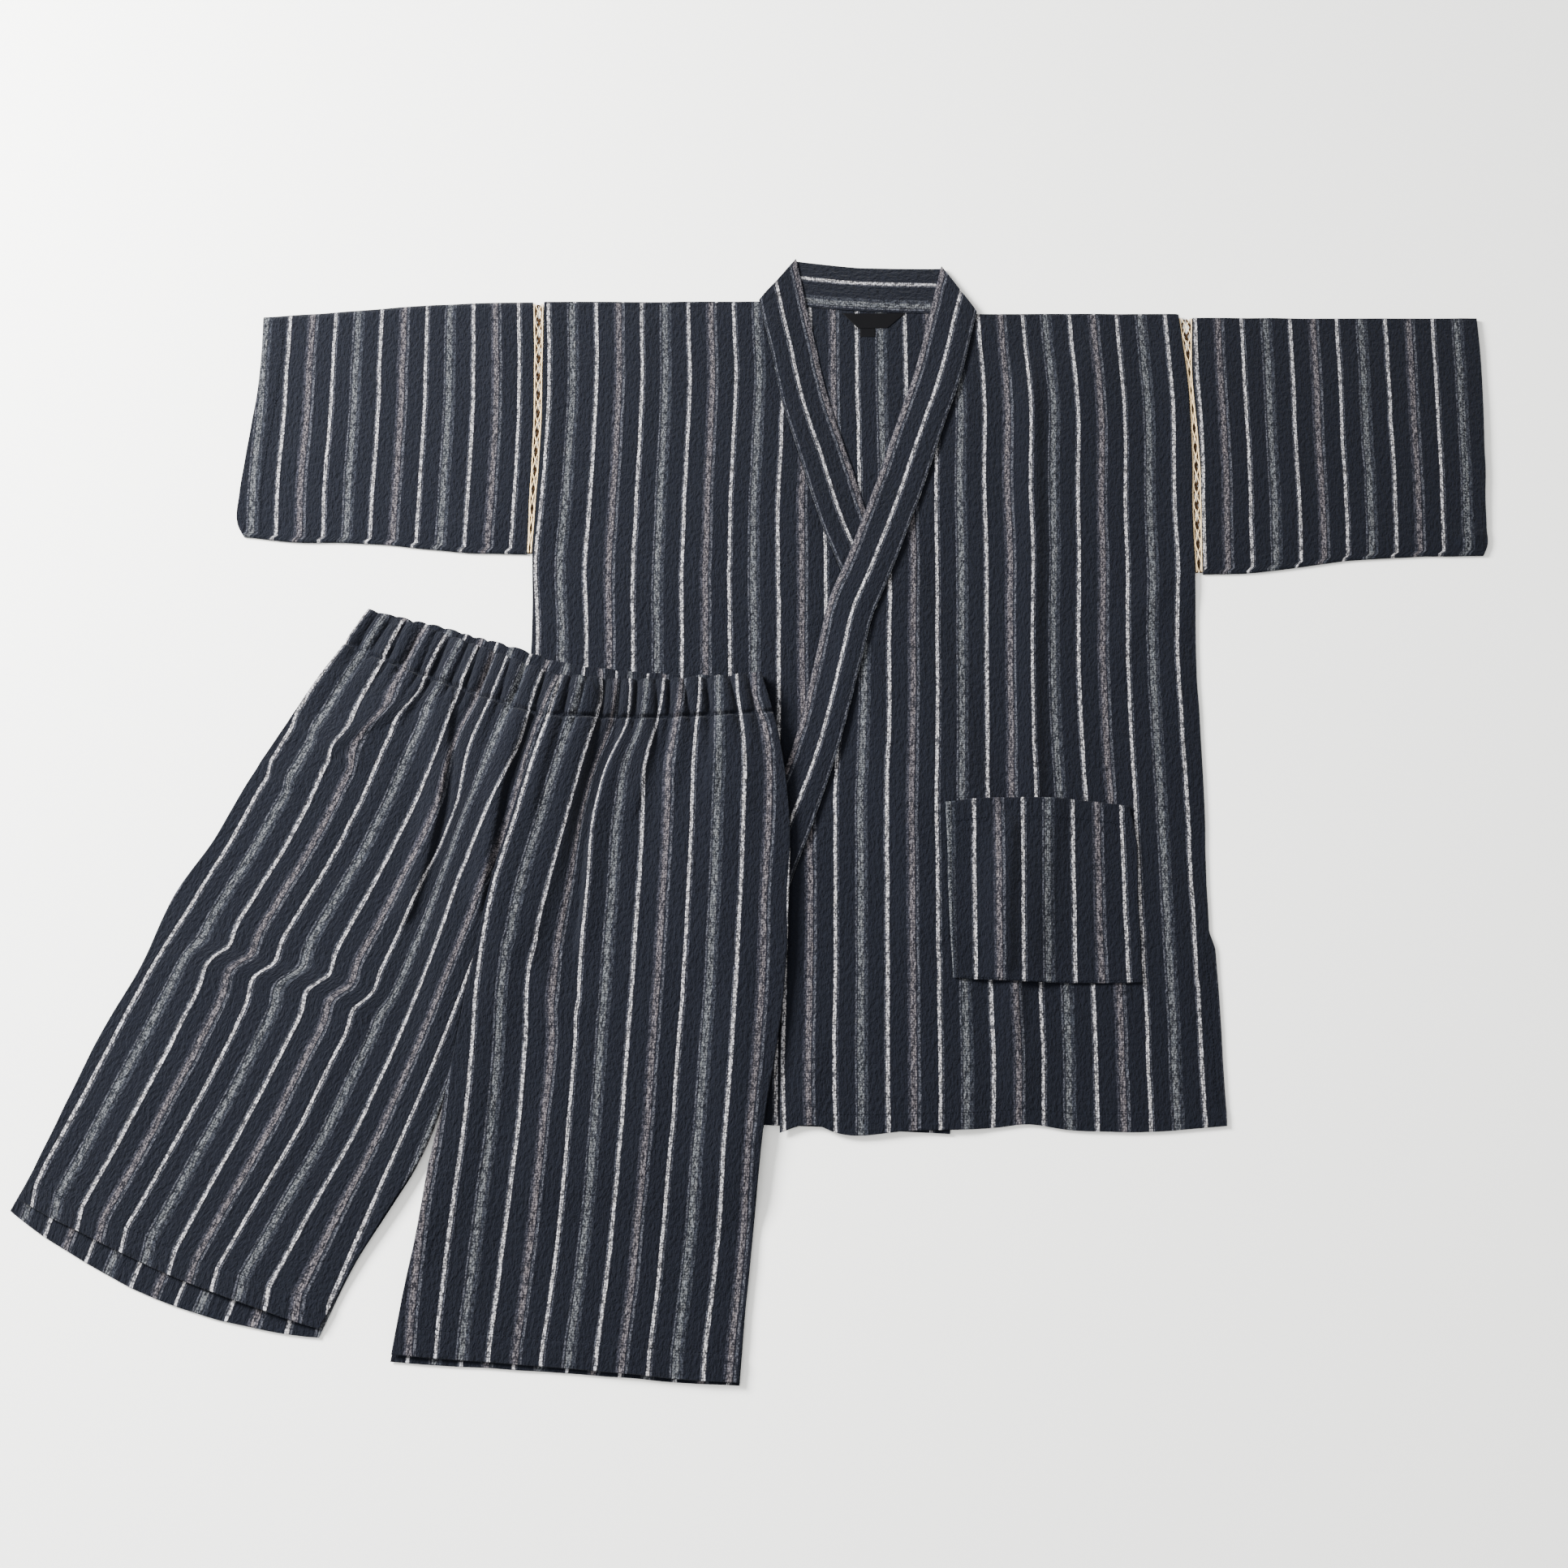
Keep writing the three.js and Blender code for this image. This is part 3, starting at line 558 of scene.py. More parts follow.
def weave(tree, cloth, stripes):
    """The navy weft covers the pale warp in places, and the yarns are uneven in tone."""
    threads = scaled(tree, cloth, THREAD, 1.3 * THREAD)
    floats = add_node(tree, "ShaderNodeTexVoronoi", {"Scale": 1.0, "Randomness": 0.55},
                      {"Vector": (threads, 0)})
    patches = add_node(tree, "ShaderNodeTexNoise", {"Scale": 1.0, "Detail": 2.0, "Roughness": 0.6},
                       {"Vector": (scaled(tree, cloth, 2.2, 7.0), 0)})
    worn = add_node(tree, "ShaderNodeMath", {"operation": "MULTIPLY_ADD", 1: -1.1},
                    {0: (patches, 0), 2: (floats, 0)})
    cover = add_node(tree, "ShaderNodeMapRange",
                     {"From Min": 0.12, "From Max": -0.36, "To Min": 0.07, "To Max": 1.0},
                     {"Value": (worn, 0)})
    slub = add_node(tree, "ShaderNodeTexNoise", {"Scale": 1.0, "Detail": 2.0},
                    {"Vector": (scaled(tree, cloth, 2.6, 11.0), 0)})
    tint = mixed(tree, {6: [0.93, 0.98, 1.12, 1.0], 7: [1.08, 1.0, 0.9, 1.0]}, {0: (slub, 0)})
    toned = mixed(tree, {"blend_type": "MULTIPLY", 0: 1.0}, {6: (stripes, 2), 7: (tint, 2)})
    woven = mixed(tree, {6: colour(NAVY)}, {0: (cover, 0), 7: (toned, 2)})
    streaks = add_node(tree, "ShaderNodeTexNoise", {"Scale": 1.0, "Detail": 3.0, "Roughness": 0.7},
                       {"Vector": (scaled(tree, cloth, 1.6, 9.0), 0)})
    streaked = mixed(tree, {6: [0.45, 0.45, 0.47, 1.0], 7: [1.5, 1.5, 1.48, 1.0]}, {0: (streaks, 0)})
    return mixed(tree, {"blend_type": "MULTIPLY", 0: 1.0}, {6: (woven, 2), 7: (streaked, 2)})


print("threads are drawn, mm apart:", THREAD)


# %% The crepe's material
def crinkle(tree, cloth):
    """Crepe's pits and pebbles, about 3 to 6 mm apart, longer up the cloth than across it."""
    pits = add_node(tree, "ShaderNodeTexNoise", {"Scale": 1.0, "Detail": 3.0, "Roughness": 0.65},
                    {"Vector": (scaled(tree, cloth, 3.2, 6.0), 0)})
    return add_node(tree, "ShaderNodeBump", {"Strength": 1.0, "Distance": 3.6 * MM}, {"Height": (pits, 0)})


def striped_crepe():
    material, tree = new_material("striped_cotton_crepe")
    cloth = add_node(tree, "ShaderNodeUVMap", {"uv_map": "cloth"})
    woven = weave(tree, cloth, stripes_of(tree, cloth))
    shader = add_node(tree, "ShaderNodeBsdfPrincipled",
                      {"Roughness": 0.92, "IOR": 1.45, "Specular IOR Level": 0.12, "Sheen Weight": 0.04,
                       "Sheen Roughness": 0.5},
                      {"Base Color": (woven, 2), "Normal": (crinkle(tree, cloth), 0)})
    add_node(tree, "ShaderNodeOutputMaterial", links={"Surface": (shader, 0)})
    return material


CREPE = striped_crepe()
print("material made:", CREPE.name, "with", len(CREPE.node_tree.nodes), "nodes")

# %% [markdown]
# ## Cream cotton cord, black woven ribbon and sewing thread
# The lace is soft cotton cord: pale, matt, with a fine twist. The labels are woven polyester
# ribbon, black with a faint rib. The thread is navy, a little darker than the cloth. Each could
# have its own texture, but all are plain fibre seen from two metres. So one function makes them,
# with a fine grain that tints the colour and roughens the surface. The cord of the inner strips
# is far darker and browner: painted shade, the shade inside the sleeve painted into its colour.


# %% The other materials
def plain_fibre(name, hex_value, roughness, sheen, size, depth):
    """A matt fibre with a fine grain of its own, `size` mm apart and `depth` mm deep."""
    material, tree = new_material(name)
    place = add_node(tree, "ShaderNodeTexCoord")
    grain = add_node(tree, "ShaderNodeTexNoise", {"Scale": 1 / (size * MM), "Detail": 2.0},
                     {"Vector": (place, 3)})
    light = colour(hex_value)
    dark = [0.72 * c for c in light[:3]] + [1.0]
    tone = mixed(tree, {6: dark, 7: light}, {0: (grain, 0)})
    bump = add_node(tree, "ShaderNodeBump", {"Strength": 0.6, "Distance": depth * MM},
                    {"Height": (grain, 0)})
    shader = add_node(tree, "ShaderNodeBsdfPrincipled",
                      {"Roughness": roughness, "IOR": 1.5, "Specular IOR Level": 0.06, "Sheen Weight": sheen},
                      {"Base Color": (tone, 2), "Normal": (bump, 0)})
    add_node(tree, "ShaderNodeOutputMaterial", links={"Surface": (shader, 0)})
    return material


CORD = plain_fibre("cream_cotton_cord", "#ecd0a0", 0.85, 0.1, 0.8, 0.25)
# painted shade: the inner strips' cord is dark brown for the shade inside the sleeve
CORD_PAINTED_SHADE = plain_fibre("cord_with_painted_shade", "#453220", 0.9, 0.0, 0.8, 0.25)
RIBBON = plain_fibre("black_woven_ribbon", "#08080a", 0.7, 0.0, 0.6, 0.1)
THREAD_NAVY = plain_fibre("navy_polyester_thread", "#12151c", 0.7, 0.0, 0.5, 0.1)
print("materials:", [m.name for m in (CORD, CORD_PAINTED_SHADE, RIBBON, THREAD_NAVY)])


# %% Join meshes, and hand a finished piece over to the frame
def join(name, pieces):
    """Joins finished meshes into one object."""
    bpy.ops.object.select_all(action="DESELECT")
    for piece in pieces:
        piece.select_set(True)
    bpy.context.view_layer.objects.active = pieces[0]
    bpy.ops.object.join()
    pieces[0].name = name
    pieces[0].data.name = name
    return pieces[0]


def hand_over(piece, material, node):
    """Gives the piece its material and its body, and hides the solid that it stands for."""
    piece.data.materials.clear()
    piece.data.materials.append(material)
    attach(piece, "root")
    if node:
        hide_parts(node)
    triangles = sum(len(face.vertices) - 2 for face in piece.data.polygons)
    print(f"{piece.name}: {triangles} triangles")


# %% [markdown]
# ## The floor layer
# The jacket's back lies on the floor. It shows inside the neck and as a rim along the side and
# the hem. It could be cut to those rims alone, but a whole panel lets the fronts lie on something
# real. It is plain and nearly flat, and its neck edge follows the seam of the neckband.

# %% Outlines shared by the body panels, (y, x)
SIDE_RIGHT = [
    (515, -244), (445, -242.5), (375, -241.5), (304, -243), (234.5, -245), (141, -243.7), (0, -245.5),
    (-143, -248), (-159, -251), (-324, -250),
]
SIDE_LEFT = [
    (502, 400.5), (426.5, 405), (355.5, 404.5), (284.5, 402), (213.5, 400.5), (105, 396), (-7, 395),
    (-143, 392), (-159, 396.5), (-310, 397.5), (-322, 397),
]
BACK_SHOULDER_RIGHT = 517.5
BACK_SHOULDER_LEFT = 503.5
BACK_HEM = -321.0
BACK_TOP = [(0, BACK_SHOULDER_RIGHT), (0.34, 517), (0.5, 508.5), (0.67, 503), (1, BACK_SHOULDER_LEFT)]
BACK_WIDTH = 656
BACK_LENGTH = 836


def edge_x(table, y):
    """X of an edge given as (y, x) rows, straight between them."""
    return np.interp(y, *zip(*sorted(table)))


print("body is this wide at the hem, mm:", float(edge_x(SIDE_LEFT, BACK_HEM) - edge_x(SIDE_RIGHT, BACK_HEM)))


# %% The jacket's back
def jacket_back():
    piece, s, t = grid("back_panel", BACK_WIDTH, BACK_LENGTH, 9)
    inset = 0.6  # the seam turns its edges in
    y = mix(np.interp(s, *zip(*BACK_TOP)) - inset, BACK_HEM, t)
    x = mix(edge_x(SIDE_RIGHT, y) + inset, edge_x(SIDE_LEFT, y) - inset, s)
    swells = 0.25 * (1 + swell(x, y, 60, 21))
    z = CLOTH + 0.1 + swells - rolled(s, t, BACK_WIDTH, BACK_LENGTH, 0.4)
    shape(piece, x, y, z, PITCH * stripe_at(GRAIN_BACK, x, y), y)
    apply_wall(piece, THIN_SHELL)
    lay(x, y, np.full(x.shape, CLOTH))
    hand_over(piece, CREPE, "jacket_back")


jacket_back()

# %% [markdown]
# ## Sleeves
# A sleeve is a tube pressed flat: one fold along the top, a seam along the bottom. A squashed
# cylinder would have its seams in the wrong places. So the grid is wrapped round the tube, from
# the bottom seam over the upper face, round the fold and back below, and its two ends are then
# merged along the seam.

# %% Sleeve tables: (top y, bottom y) at even steps from the lace to the cuff
SLEEVE_RIGHT = [(514, 234.5), (513, 236), (511, 240), (508, 245), (504, 247.5), (499.5, 248.5), (497, 254)]
SLEEVE_LEFT = [(497.5, 213.5), (497, 215), (496.3, 221), (496, 227), (496, 231), (495.5, 233.5), (495, 234)]
SLEEVE_LENGTHS = {"right": 273.0, "left": 287.5}
# The lace at the armhole, (y, x at the sleeve, x at the body), and the cuffs, (y, x)
LACE_RIGHT = [
    (514, -255, -244), (444, -252, -242.5), (374, -250.5, -241.5), (304, -251, -243), (234.5, -250.5, -245),
]
LACE_LEFT = [
    (497.5, 415, 400.5), (426.5, 411, 405), (355.5, 412.5, 404.5), (284.5, 412, 402), (213.5, 408.5, 401),
]
CUFF_RIGHT = [(497, -529), (444, -527.5), (374, -531), (330, -535), (300, -537), (262, -534), (254, -529)]
CUFF_LEFT = [(495, 703), (455, 702), (340, 695), (262, 689.5), (244, 688.5), (234, 684)]
print("a sleeve is this deep at the lace, mm:", SLEEVE_RIGHT[0][0] - SLEEVE_RIGHT[0][1])

# %% The sleeves' grain and creases
GRAIN_SLEEVE_RIGHT = ((-2, 9), [
    (491, -525, -267.9), (444, -524.7, -266.1), (381, -522.8, -264.7), (309, -523.7, -265.1),
    (261, -522.1, -265.8),
])
GRAIN_SLEEVE_LEFT = ((0, 5, 10), [
    (481, 440.6, 560.3, 682), (435, 439.2, 558.9, 680), (372, 439.1, 556.4, 676.8),
    (309, 437.4, 555.2, 674.1), (248, 435.1, 551.9, 670.1),
])
SLEEVE_CREASES_RIGHT = [
    ([(-286, 505), (-289, 460), (-293, 400)], 0.9, 7, 7),
    ([(-268, 245), (-300, 262), (-345, 268)], 1.6, 9, 12),
    ([(-520, 330), (-470, 345), (-430, 340)], 0.8, 16, 16),
]
SLEEVE_CREASES_LEFT = [
    ([(508, 380), (506, 300), (500, 236)], 1.0, 7, 9),
    ([(575, 490), (572, 400), (566, 330)], 0.7, 12, 12),
    ([(690, 262), (672, 250), (655, 247)], 2.2, 7, 9),
]
SLEEVE_FOLD = 1.6  # radius of the folds at the top and along the seam
FOLD_STANDS = 1.8  # the top fold lies this far beyond the table's row
SEAM_AT = 4.2  # the bottom seam shows this far above the lower edge
CUFF_HEM = 20.0
print("creases of the sleeves:", len(SLEEVE_CREASES_RIGHT) + len(SLEEVE_CREASES_LEFT))


# %% Relief of a sleeve
def sleeve_relief(x, y, down, along, depth, from_cuff, sleeve_creases, seed):
    """How far the upper face stands above the lower one, in mm."""
    puff = 1.3 * np.sin(math.pi * down) ** 0.6 * (0.35 + 0.65 * along)
    swells = 0.45 * (1 + swell(x, y, 55, seed)) + 0.2 * swell(x, y, 17, seed + 1)
    seam_pinch = -0.7 * line_at((1 - down) * depth, 4.5, 1.3)
    cuff_hem = 0.35 * within(from_cuff, CUFF_HEM, 0.8)
    return puff + swells + creases(x, y, sleeve_creases) + seam_pinch + cuff_hem


# %% Wrap the grid into a sleeve
def sleeve(side, rows, lace_rows, cuff, grain, sleeve_creases, seed):
    rows = np.array(rows, float)
    length = SLEEVE_LENGTHS[side]
    depth = rows[:, 0].mean() - rows[:, 1].mean()
    piece, s, t = grid(f"sleeve_tube_{side}", length, 2 * depth, 3.5)
    along = 1 - s if side == "right" else s  # from the lace to the cuff
    upper = t < 0.5
    down = np.where(upper, 1 - 2 * t, 2 * t - 1)  # from the top fold to the seam
    keys = np.linspace(0, 1, len(rows))
    top_y = smooth(keys, rows[:, 0], along) + FOLD_STANDS
    y = mix(top_y, smooth(keys, rows[:, 1], along), down)
    lace_x = smooth([row[0] for row in lace_rows], [row[1] for row in lace_rows], y)
    cuff_x = smooth([row[0] for row in cuff], [row[1] for row in cuff], y)
    x = mix(lace_x, cuff_x, along)
    round_off = quarter_round(np.minimum(down, 1 - down) * depth, SLEEVE_FOLD)
    y = y - np.where(down < 0.5, 1, -1) * 0.3 * (1 - round_off)
    relief = sleeve_relief(x, y, down, along, depth, np.abs(x - cuff_x), sleeve_creases, seed)
    middle = CLOTH + 0.2
    z_upper = middle + round_off * (CLOTH + 0.2 + relief)
    z_lower = middle - round_off * middle + 0.05
    z = np.where(upper, z_upper, z_lower)
    below_seam = upper & ((1 - down) * depth < SEAM_AT)
    u = PITCH * stripe_at(grain, x, y) + np.where(below_seam, 4.0, 0)
    shape(piece, x, y, z, u, np.where(upper, y, 2 * top_y - y))
    in_edit_mode((bpy.ops.mesh.remove_doubles, {"threshold": 0.02 * MM}), TURN_OVER)
    apply_wall(piece, THIN_SHELL)
    lay(x[upper], y[upper], z[upper])
    hand_over(piece, CREPE, f"sleeve_{side}")
    return piece


sleeve_right = sleeve("right", SLEEVE_RIGHT, LACE_RIGHT, CUFF_RIGHT, GRAIN_SLEEVE_RIGHT,
                      SLEEVE_CREASES_RIGHT, 31)
sleeve_left = sleeve("left", SLEEVE_LEFT, LACE_LEFT, CUFF_LEFT, GRAIN_SLEEVE_LEFT,
                     SLEEVE_CREASES_LEFT, 35)

# %% [markdown]
# ## The neckband
# The collar is one long band, folded double along its outer edge. Behind the neck it lies with
# its inner side up. Its stripes run along it: counted from the folded edge they go one way on
# the outer side and the other way on the inner side, because it is one piece of cloth. A strip
# swept along a curve would give both sides the same stripes. A grid wrapped round the folded
# edge has one run of cloth coordinates, as the real band has.

# %% Collar tables
# Each row crosses an arm of the collar: (seam x, seam y, folded edge x, folded edge y)
COLLAR_RIGHT = [
    (-25, 515.3, 13, 564), (-13, 458, 32, 467), (0, 396, 45, 406), (9, 363, 53, 376), (23, 313, 67, 328),
    (34, 276, 77, 293), (56, 216, 99, 232), (72, 170, 115, 186), (83, 132, 127, 143), (112, 7, 157, 19),
    (126, -42, 170, -28), (143, -94, 186, -78), (150, -121, 193, -105),
]
COLLAR_LEFT = [
    (196, 502, 161, 556), (175, 421, 130, 433), (156, 363, 112, 378), (135, 299, 91, 314),
    (103, 209, 60, 225), (87, 170, 44, 186), (77, 132, 34, 143), (43, 7, 2, 18), (27, -42, -16, -28),
    (8, -94, -35, -78), (-2, -121, -45, -105),
]
# The band behind the neck at its folded edge and at its seam: (left x, left y, right x, right y)
NECKBAND = [(13, 564, 161, 556), (-25, 515.3, 196, 502)]
NECKBAND_LENGTH = 220.0
NECKBAND_WIDTH = 52.0
NECK_BOW = 3.5  # its middle lies this much lower
ARM_WIDTH = 48.0
BAND = 2 * CLOTH
BAND_EDGE = 3.5  # the middle of the band's edge stripe lies this far from the fold
print("rows of the collar's arms:", len(COLLAR_RIGHT), "and", len(COLLAR_LEFT))


# %% Behind the neck
def neckband():
    piece, s, t = grid("neckband_turn", NECKBAND_LENGTH, 2 * NECKBAND_WIDTH, 3)
    inside = t < 0.5
    down = np.where(inside, 1 - 2 * t, 2 * t - 1)  # from the folded edge to the seam
    (lx0, ly0, rx0, ry0), (lx1, ly1, rx1, ry1) = NECKBAND
    x = mix(mix(lx0, rx0, s), mix(lx1, rx1, s), down)
    y = mix(mix(ly0, ry0, s), mix(ly1, ry1, s), down) - NECK_BOW * 4 * s * (1 - s)
    from_edge = down * NECKBAND_WIDTH
    rise = quarter_round(from_edge, 1.3)
    relief = uneven(x, y, 41, ((0.3, 34), (0.15, 12))) + 0.5 * np.sin(math.pi * down)
    z = np.where(inside, CLOTH + rise * (CLOTH + relief), CLOTH - 1.15 * rise)
    u = np.where(inside, -BAND_EDGE - from_edge, -BAND_EDGE + from_edge)
    shape(piece, x, y, z, u, x)
    in_edit_mode(TURN_OVER)
    apply_wall(piece, THIN_SHELL)
    lay(x[inside], y[inside], np.maximum(z[inside], BAND))
    return piece


neck_turn = neckband()
print("highest point of the tray so far, mm:", round(float(tray.max()), 1))

# %% [markdown]
# ## Jacket fronts
# Each front is laid on the tray: the right one over the back, and then the left one over both.
# They could be draped by a simulation, but then the wrap would slip and the stripes with it. So
# a row of the grid lies level, from the side seam or armhole to the seam of the collar. Below
# the collar the front edge runs straight down. The creases are placed one by one: a long press
# mark, drags from the underarm, and soft swells where the layer below ends.

# %% Edges and hems of the fronts
FRONT_RIGHT_EDGE = 148.5
FRONT_LEFT_EDGE = -4.0
SHOULDER_INSET = 3.0
HEM_FRONT_RIGHT = [(-250, -323), (-100, -322), (-18, -322), (115, -328), (150, -330)]
HEM_FRONT_LEFT = [
    (-4, -329), (15, -323), (31, -323), (43, -328), (115, -327), (195, -324), (212, -322), (255, -327),
    (348, -327), (397, -323),
]
GRAIN_FRONT_RIGHT = ((-3, 6), [
    (491, -238, -26.5), (435, -235, -24), (363, -235.3, -26), (291, -237.5, -28.6),
    (222, -241, -29), (153, -237.6, -28.5), (-100, -240, -30), (-330, -241, -31),
])
GRAIN_FRONT_LEFT = ((-8, 0, 2, 7), [
    (472, 33, 221.5, 267, 387.3), (399, 36, 224.5, 270.5, 388.9), (309, 34, 221.5, 266.5, 385.1),
    (222, 33, 221, 263.5, 384.2), (137, 31, 218.4, 260, 378.4), (54, 28, 216.7, 258.7, 377.9),
    (-11, 25, 213.9, 259.2, 378.3), (-106, 25, 213.5, 259, 378), (-213, 23.4, 212.2, 258.9, 377.3),
    (-258, 22.5, 213, 258.5, 377.7), (-310, 23.1, 211.2, 257, 377.8),
])
MIDDLE_OF_STRIPE = (np.array(258.7), np.array(54.0))
print("this should be stripe 2:", float(stripe_at(GRAIN_FRONT_LEFT, *MIDDLE_OF_STRIPE)))

# %% Creases of the fronts, each (path, rise, width to the left, width to the right, fade)
CREASES_FRONT_RIGHT = [
    ([(-240, 236), (-205, 215), (-160, 190), (-120, 150)], 1.6, 14, 16),
    ([(-238, 250), (-215, 275), (-180, 330)], 1.1, 12, 14),
    ([(-150, 505), (-148, 440), (-140, 360)], 0.7, 12, 12),
    ([(-90, 330), (-84, 250), (-86, 160)], 0.8, 14, 12),
    ([(-30, 260), (-5, 215), (12, 150)], 0.8, 12, 12),
]
PRESS_MARK = [(249, 470), (249, 345), (242, 170), (236, -19), (218, -106), (210, -220), (207, -322)]
CREASES_FRONT_LEFT = [
    (PRESS_MARK, 4.4, 8, 18, 0.1),
    ([(398, 214), (370, 205), (335, 160), (318, 100)], 1.8, 12, 16),
    ([(398, 200), (380, 150), (372, 60)], 1.2, 10, 12),
    ([(300, 500), (302, 420), (296, 330)], 0.7, 12, 12),
    ([(180, 420), (188, 330), (190, 240)], 0.8, 12, 14),
    ([(120, 40), (112, -80), (120, -190)], 0.7, 16, 14),
    ([(350, -20), (362, -120), (356, -240)], 1.0, 12, 14),
    ([(392, -140), (372, -190), (366, -260)], 1.2, 12, 12),
    ([(22, -324), (24, -280), (30, -230)], 1.6, 12, 12),
    ([(212, -322), (216, -285), (232, -230)], 1.8, 12, 14),
]
print("hand-placed creases on the fronts:", len(CREASES_FRONT_RIGHT) + len(CREASES_FRONT_LEFT))


# %% Relief of a front
def front_relief(x, y, s, t, from_hem, from_top, front_creases, seed):
    """How far a front stands above the layer below, in mm."""
    loft = 1.4 * np.sin(math.pi * s) * np.sin(math.pi * t)
    swells = uneven(x, y, seed, ((0.7, 110), (0.4, 42), (0.22, 15)))
    fade = np.clip(np.minimum(s * (1 - s) * 30, t * (1 - t) * 50), 0.25, 1)
    hem_fold = 0.5 * within(from_hem, JACKET_HEM, 0.7)
    pinch = -0.5 * line_at(from_hem, JACKET_HEM, 1.2)
    shoulder = -0.8 * line_at(from_top, 3.5, 1.4)
    return loft + (swells + 0.5) * fade + creases(x, y, front_creases) + hem_fold + pinch + shoulder


# %% Lay a front
def front(side, side_rows, collar, front_edge, shoulder, hem, grain, front_creases, seed):
    """Lays the right or the left front from its side seam to the collar."""
    top = shoulder - SHOULDER_INSET
    seam = [(y, x) for x, y, _, _ in collar] + [(BACK_HEM, front_edge)]
    side_x = side_rows[-1][1]
    width = abs(side_x - front_edge)
    length = top - BACK_HEM
    piece, s, t = grid(f"front_panel_{side}", width, length, 3.5)
    across = s if side == "right" else 1 - s  # from the side seam to the collar
    hem_y = smooth(*zip(*sorted(hem)), mix(side_x, front_edge, across))
    y = mix(top, hem_y, t)
    level = np.maximum(y, BACK_HEM)
    x = mix(edge_x(side_rows, level), edge_x(seam, level), across)
    relief = front_relief(x, y, s, t, y - hem_y, top - y, front_creases, seed)
    resting = height(settled(22), x, y)
    z = resting + GAP + CLOTH + np.maximum(relief, -0.1) - rolled(s, t, width, length, 0.5)
    shape(piece, x, y, z, PITCH * stripe_at(grain, x, y), y)
    apply_wall(piece)
    lay(x, y, z)
    hand_over(piece, CREPE, f"jacket_front_{side}")
    return piece


front("right", SIDE_RIGHT, COLLAR_RIGHT, FRONT_RIGHT_EDGE, BACK_SHOULDER_RIGHT, HEM_FRONT_RIGHT,
      GRAIN_FRONT_RIGHT, CREASES_FRONT_RIGHT, 51)

# %% [markdown]
# ## Collar arms
# Each arm comes over the neck fold from below and runs down the front, the right arm first. A
# flat strip would look right from above, but its edge would show no fold. So the grid is wrapped
# round the band's folded edge, with an outer and an inner face. The left front is laid between
# the two arms, because it covers the lower end of the right one.


# %% Height of an arm
def arm_height(x, y, away, outer_face, seed):
    """Height of an arm's outer face and of the inner face under it, in mm."""
    from_edge = away * ARM_WIDTH
    middle = height(settled(18), x, y) + GAP + CLOTH
    edge_turn = quarter_round(from_edge, 1.4)
    swells = uneven(x, y, seed, ((0.35, 40), (0.18, 13)))
    crown = 0.7 * np.sin(math.pi * away) ** 0.7
    seam_dip = -0.5 * line_at(from_edge, ARM_WIDTH, 2.2)
    outer = middle + edge_turn * (CLOTH + swells + crown) + seam_dip
    return np.where(outer_face, outer, middle - 1.1 * edge_turn)


# %% One arm of the collar
def collar_arm(side, collar, seed):
    rows = np.array(collar, float)
    middles = (rows[:, :2] + rows[:, 2:]) / 2
    runs = np.concatenate([[0], np.cumsum(np.hypot(*np.diff(middles, axis=0).T))])
    piece, s, t = grid(f"collar_arm_{side}", 2 * ARM_WIDTH, runs[-1], 3)
    outer_face = s < 0.5
    away = np.where(outer_face, 1 - 2 * s, 2 * s - 1)  # 0 at the folded edge, 1 at the seam
    distance = t * runs[-1]
    seam_x, seam_y, fold_x, fold_y = [smooth(runs, column, distance) for column in rows.T]
    x = mix(fold_x, seam_x, away)
    y = mix(fold_y, seam_y, away)
    z = arm_height(x, y, away, outer_face, seed)
    u = -BAND_EDGE + np.where(outer_face, 1, -1) * away * ARM_WIDTH
    shape(piece, x, y, z, u, distance)
    if side == "left":
        in_edit_mode(TURN_OVER)
    apply_wall(piece, THIN_SHELL)
    lay(x[outer_face], y[outer_face], z[outer_face])
    return piece


arm_right = collar_arm("right", COLLAR_RIGHT, 61)
front_left = front("left", SIDE_LEFT, COLLAR_LEFT, FRONT_LEFT_EDGE, BACK_SHOULDER_LEFT, HEM_FRONT_LEFT,
                   GRAIN_FRONT_LEFT, CREASES_FRONT_LEFT, 55)
arm_left = collar_arm("left", COLLAR_LEFT, 65)

# %% The collar in one piece
collar_band = join("collar_band", [neck_turn, arm_right, arm_left])
hand_over(collar_band, CREPE, "collar")

# %% [markdown]
# ## Patch pocket
# The pocket is one piece of cloth with its edges turned in, sewn on round three sides. Its mouth
# is hemmed and stands off a little, because the stitching draws the sides in. It could be part of
# the front's own mesh, but a patch has an edge that casts a shadow. So it is a panel of its own,
# with turned-in edges as a low rim.

# %% Pocket tables
# Rows across the pocket: (distance below the layout's origin, left x, left y, right x, right y, bow)
POCKET = [
    (22, 150, -22, 324, -24, 6), (46, 151, -46, 328, -46, 0), (117, 152, -117, 327.5, -117, 0),
    (190, 153.5, -189, 327, -192, -3),
]
POCKET_WIDTH = 176.0
POCKET_DEPTH = 168.0
POCKET_CUT = 170.0  # its depth with the cloth that turns over at the mouth
MOUTH_HEM = 18.0
GRAIN_POCKET = ((-1, 2, 5), [
    (-24, 176.6, 246.3, 316.4), (-51, 176.4, 245.8, 316.2), (-168, 174.9, 243, 315.3),
])
POCKET_CREASES = [
    ([(212, -30), (206, -110), (203, -192)], 4.0, 8, 18, 0.1),
    ([(290, -30), (284, -90), (290, -150)], 0.7, 10, 10),
    ([(160, -150), (200, -165), (250, -172)], 0.6, 9, 9),
]


def on_rows(rows, distance, s):
    """Layout places on rows given as (distance, left x, left y, right x, right y, bow)."""
    table = np.array(rows, float).T
    lx, ly, rx, ry, bow = [smooth(table[0], column, distance) for column in table[1:]]
    return mix(lx, rx, s), mix(ly, ry, s) + bow * 4 * s * (1 - s)


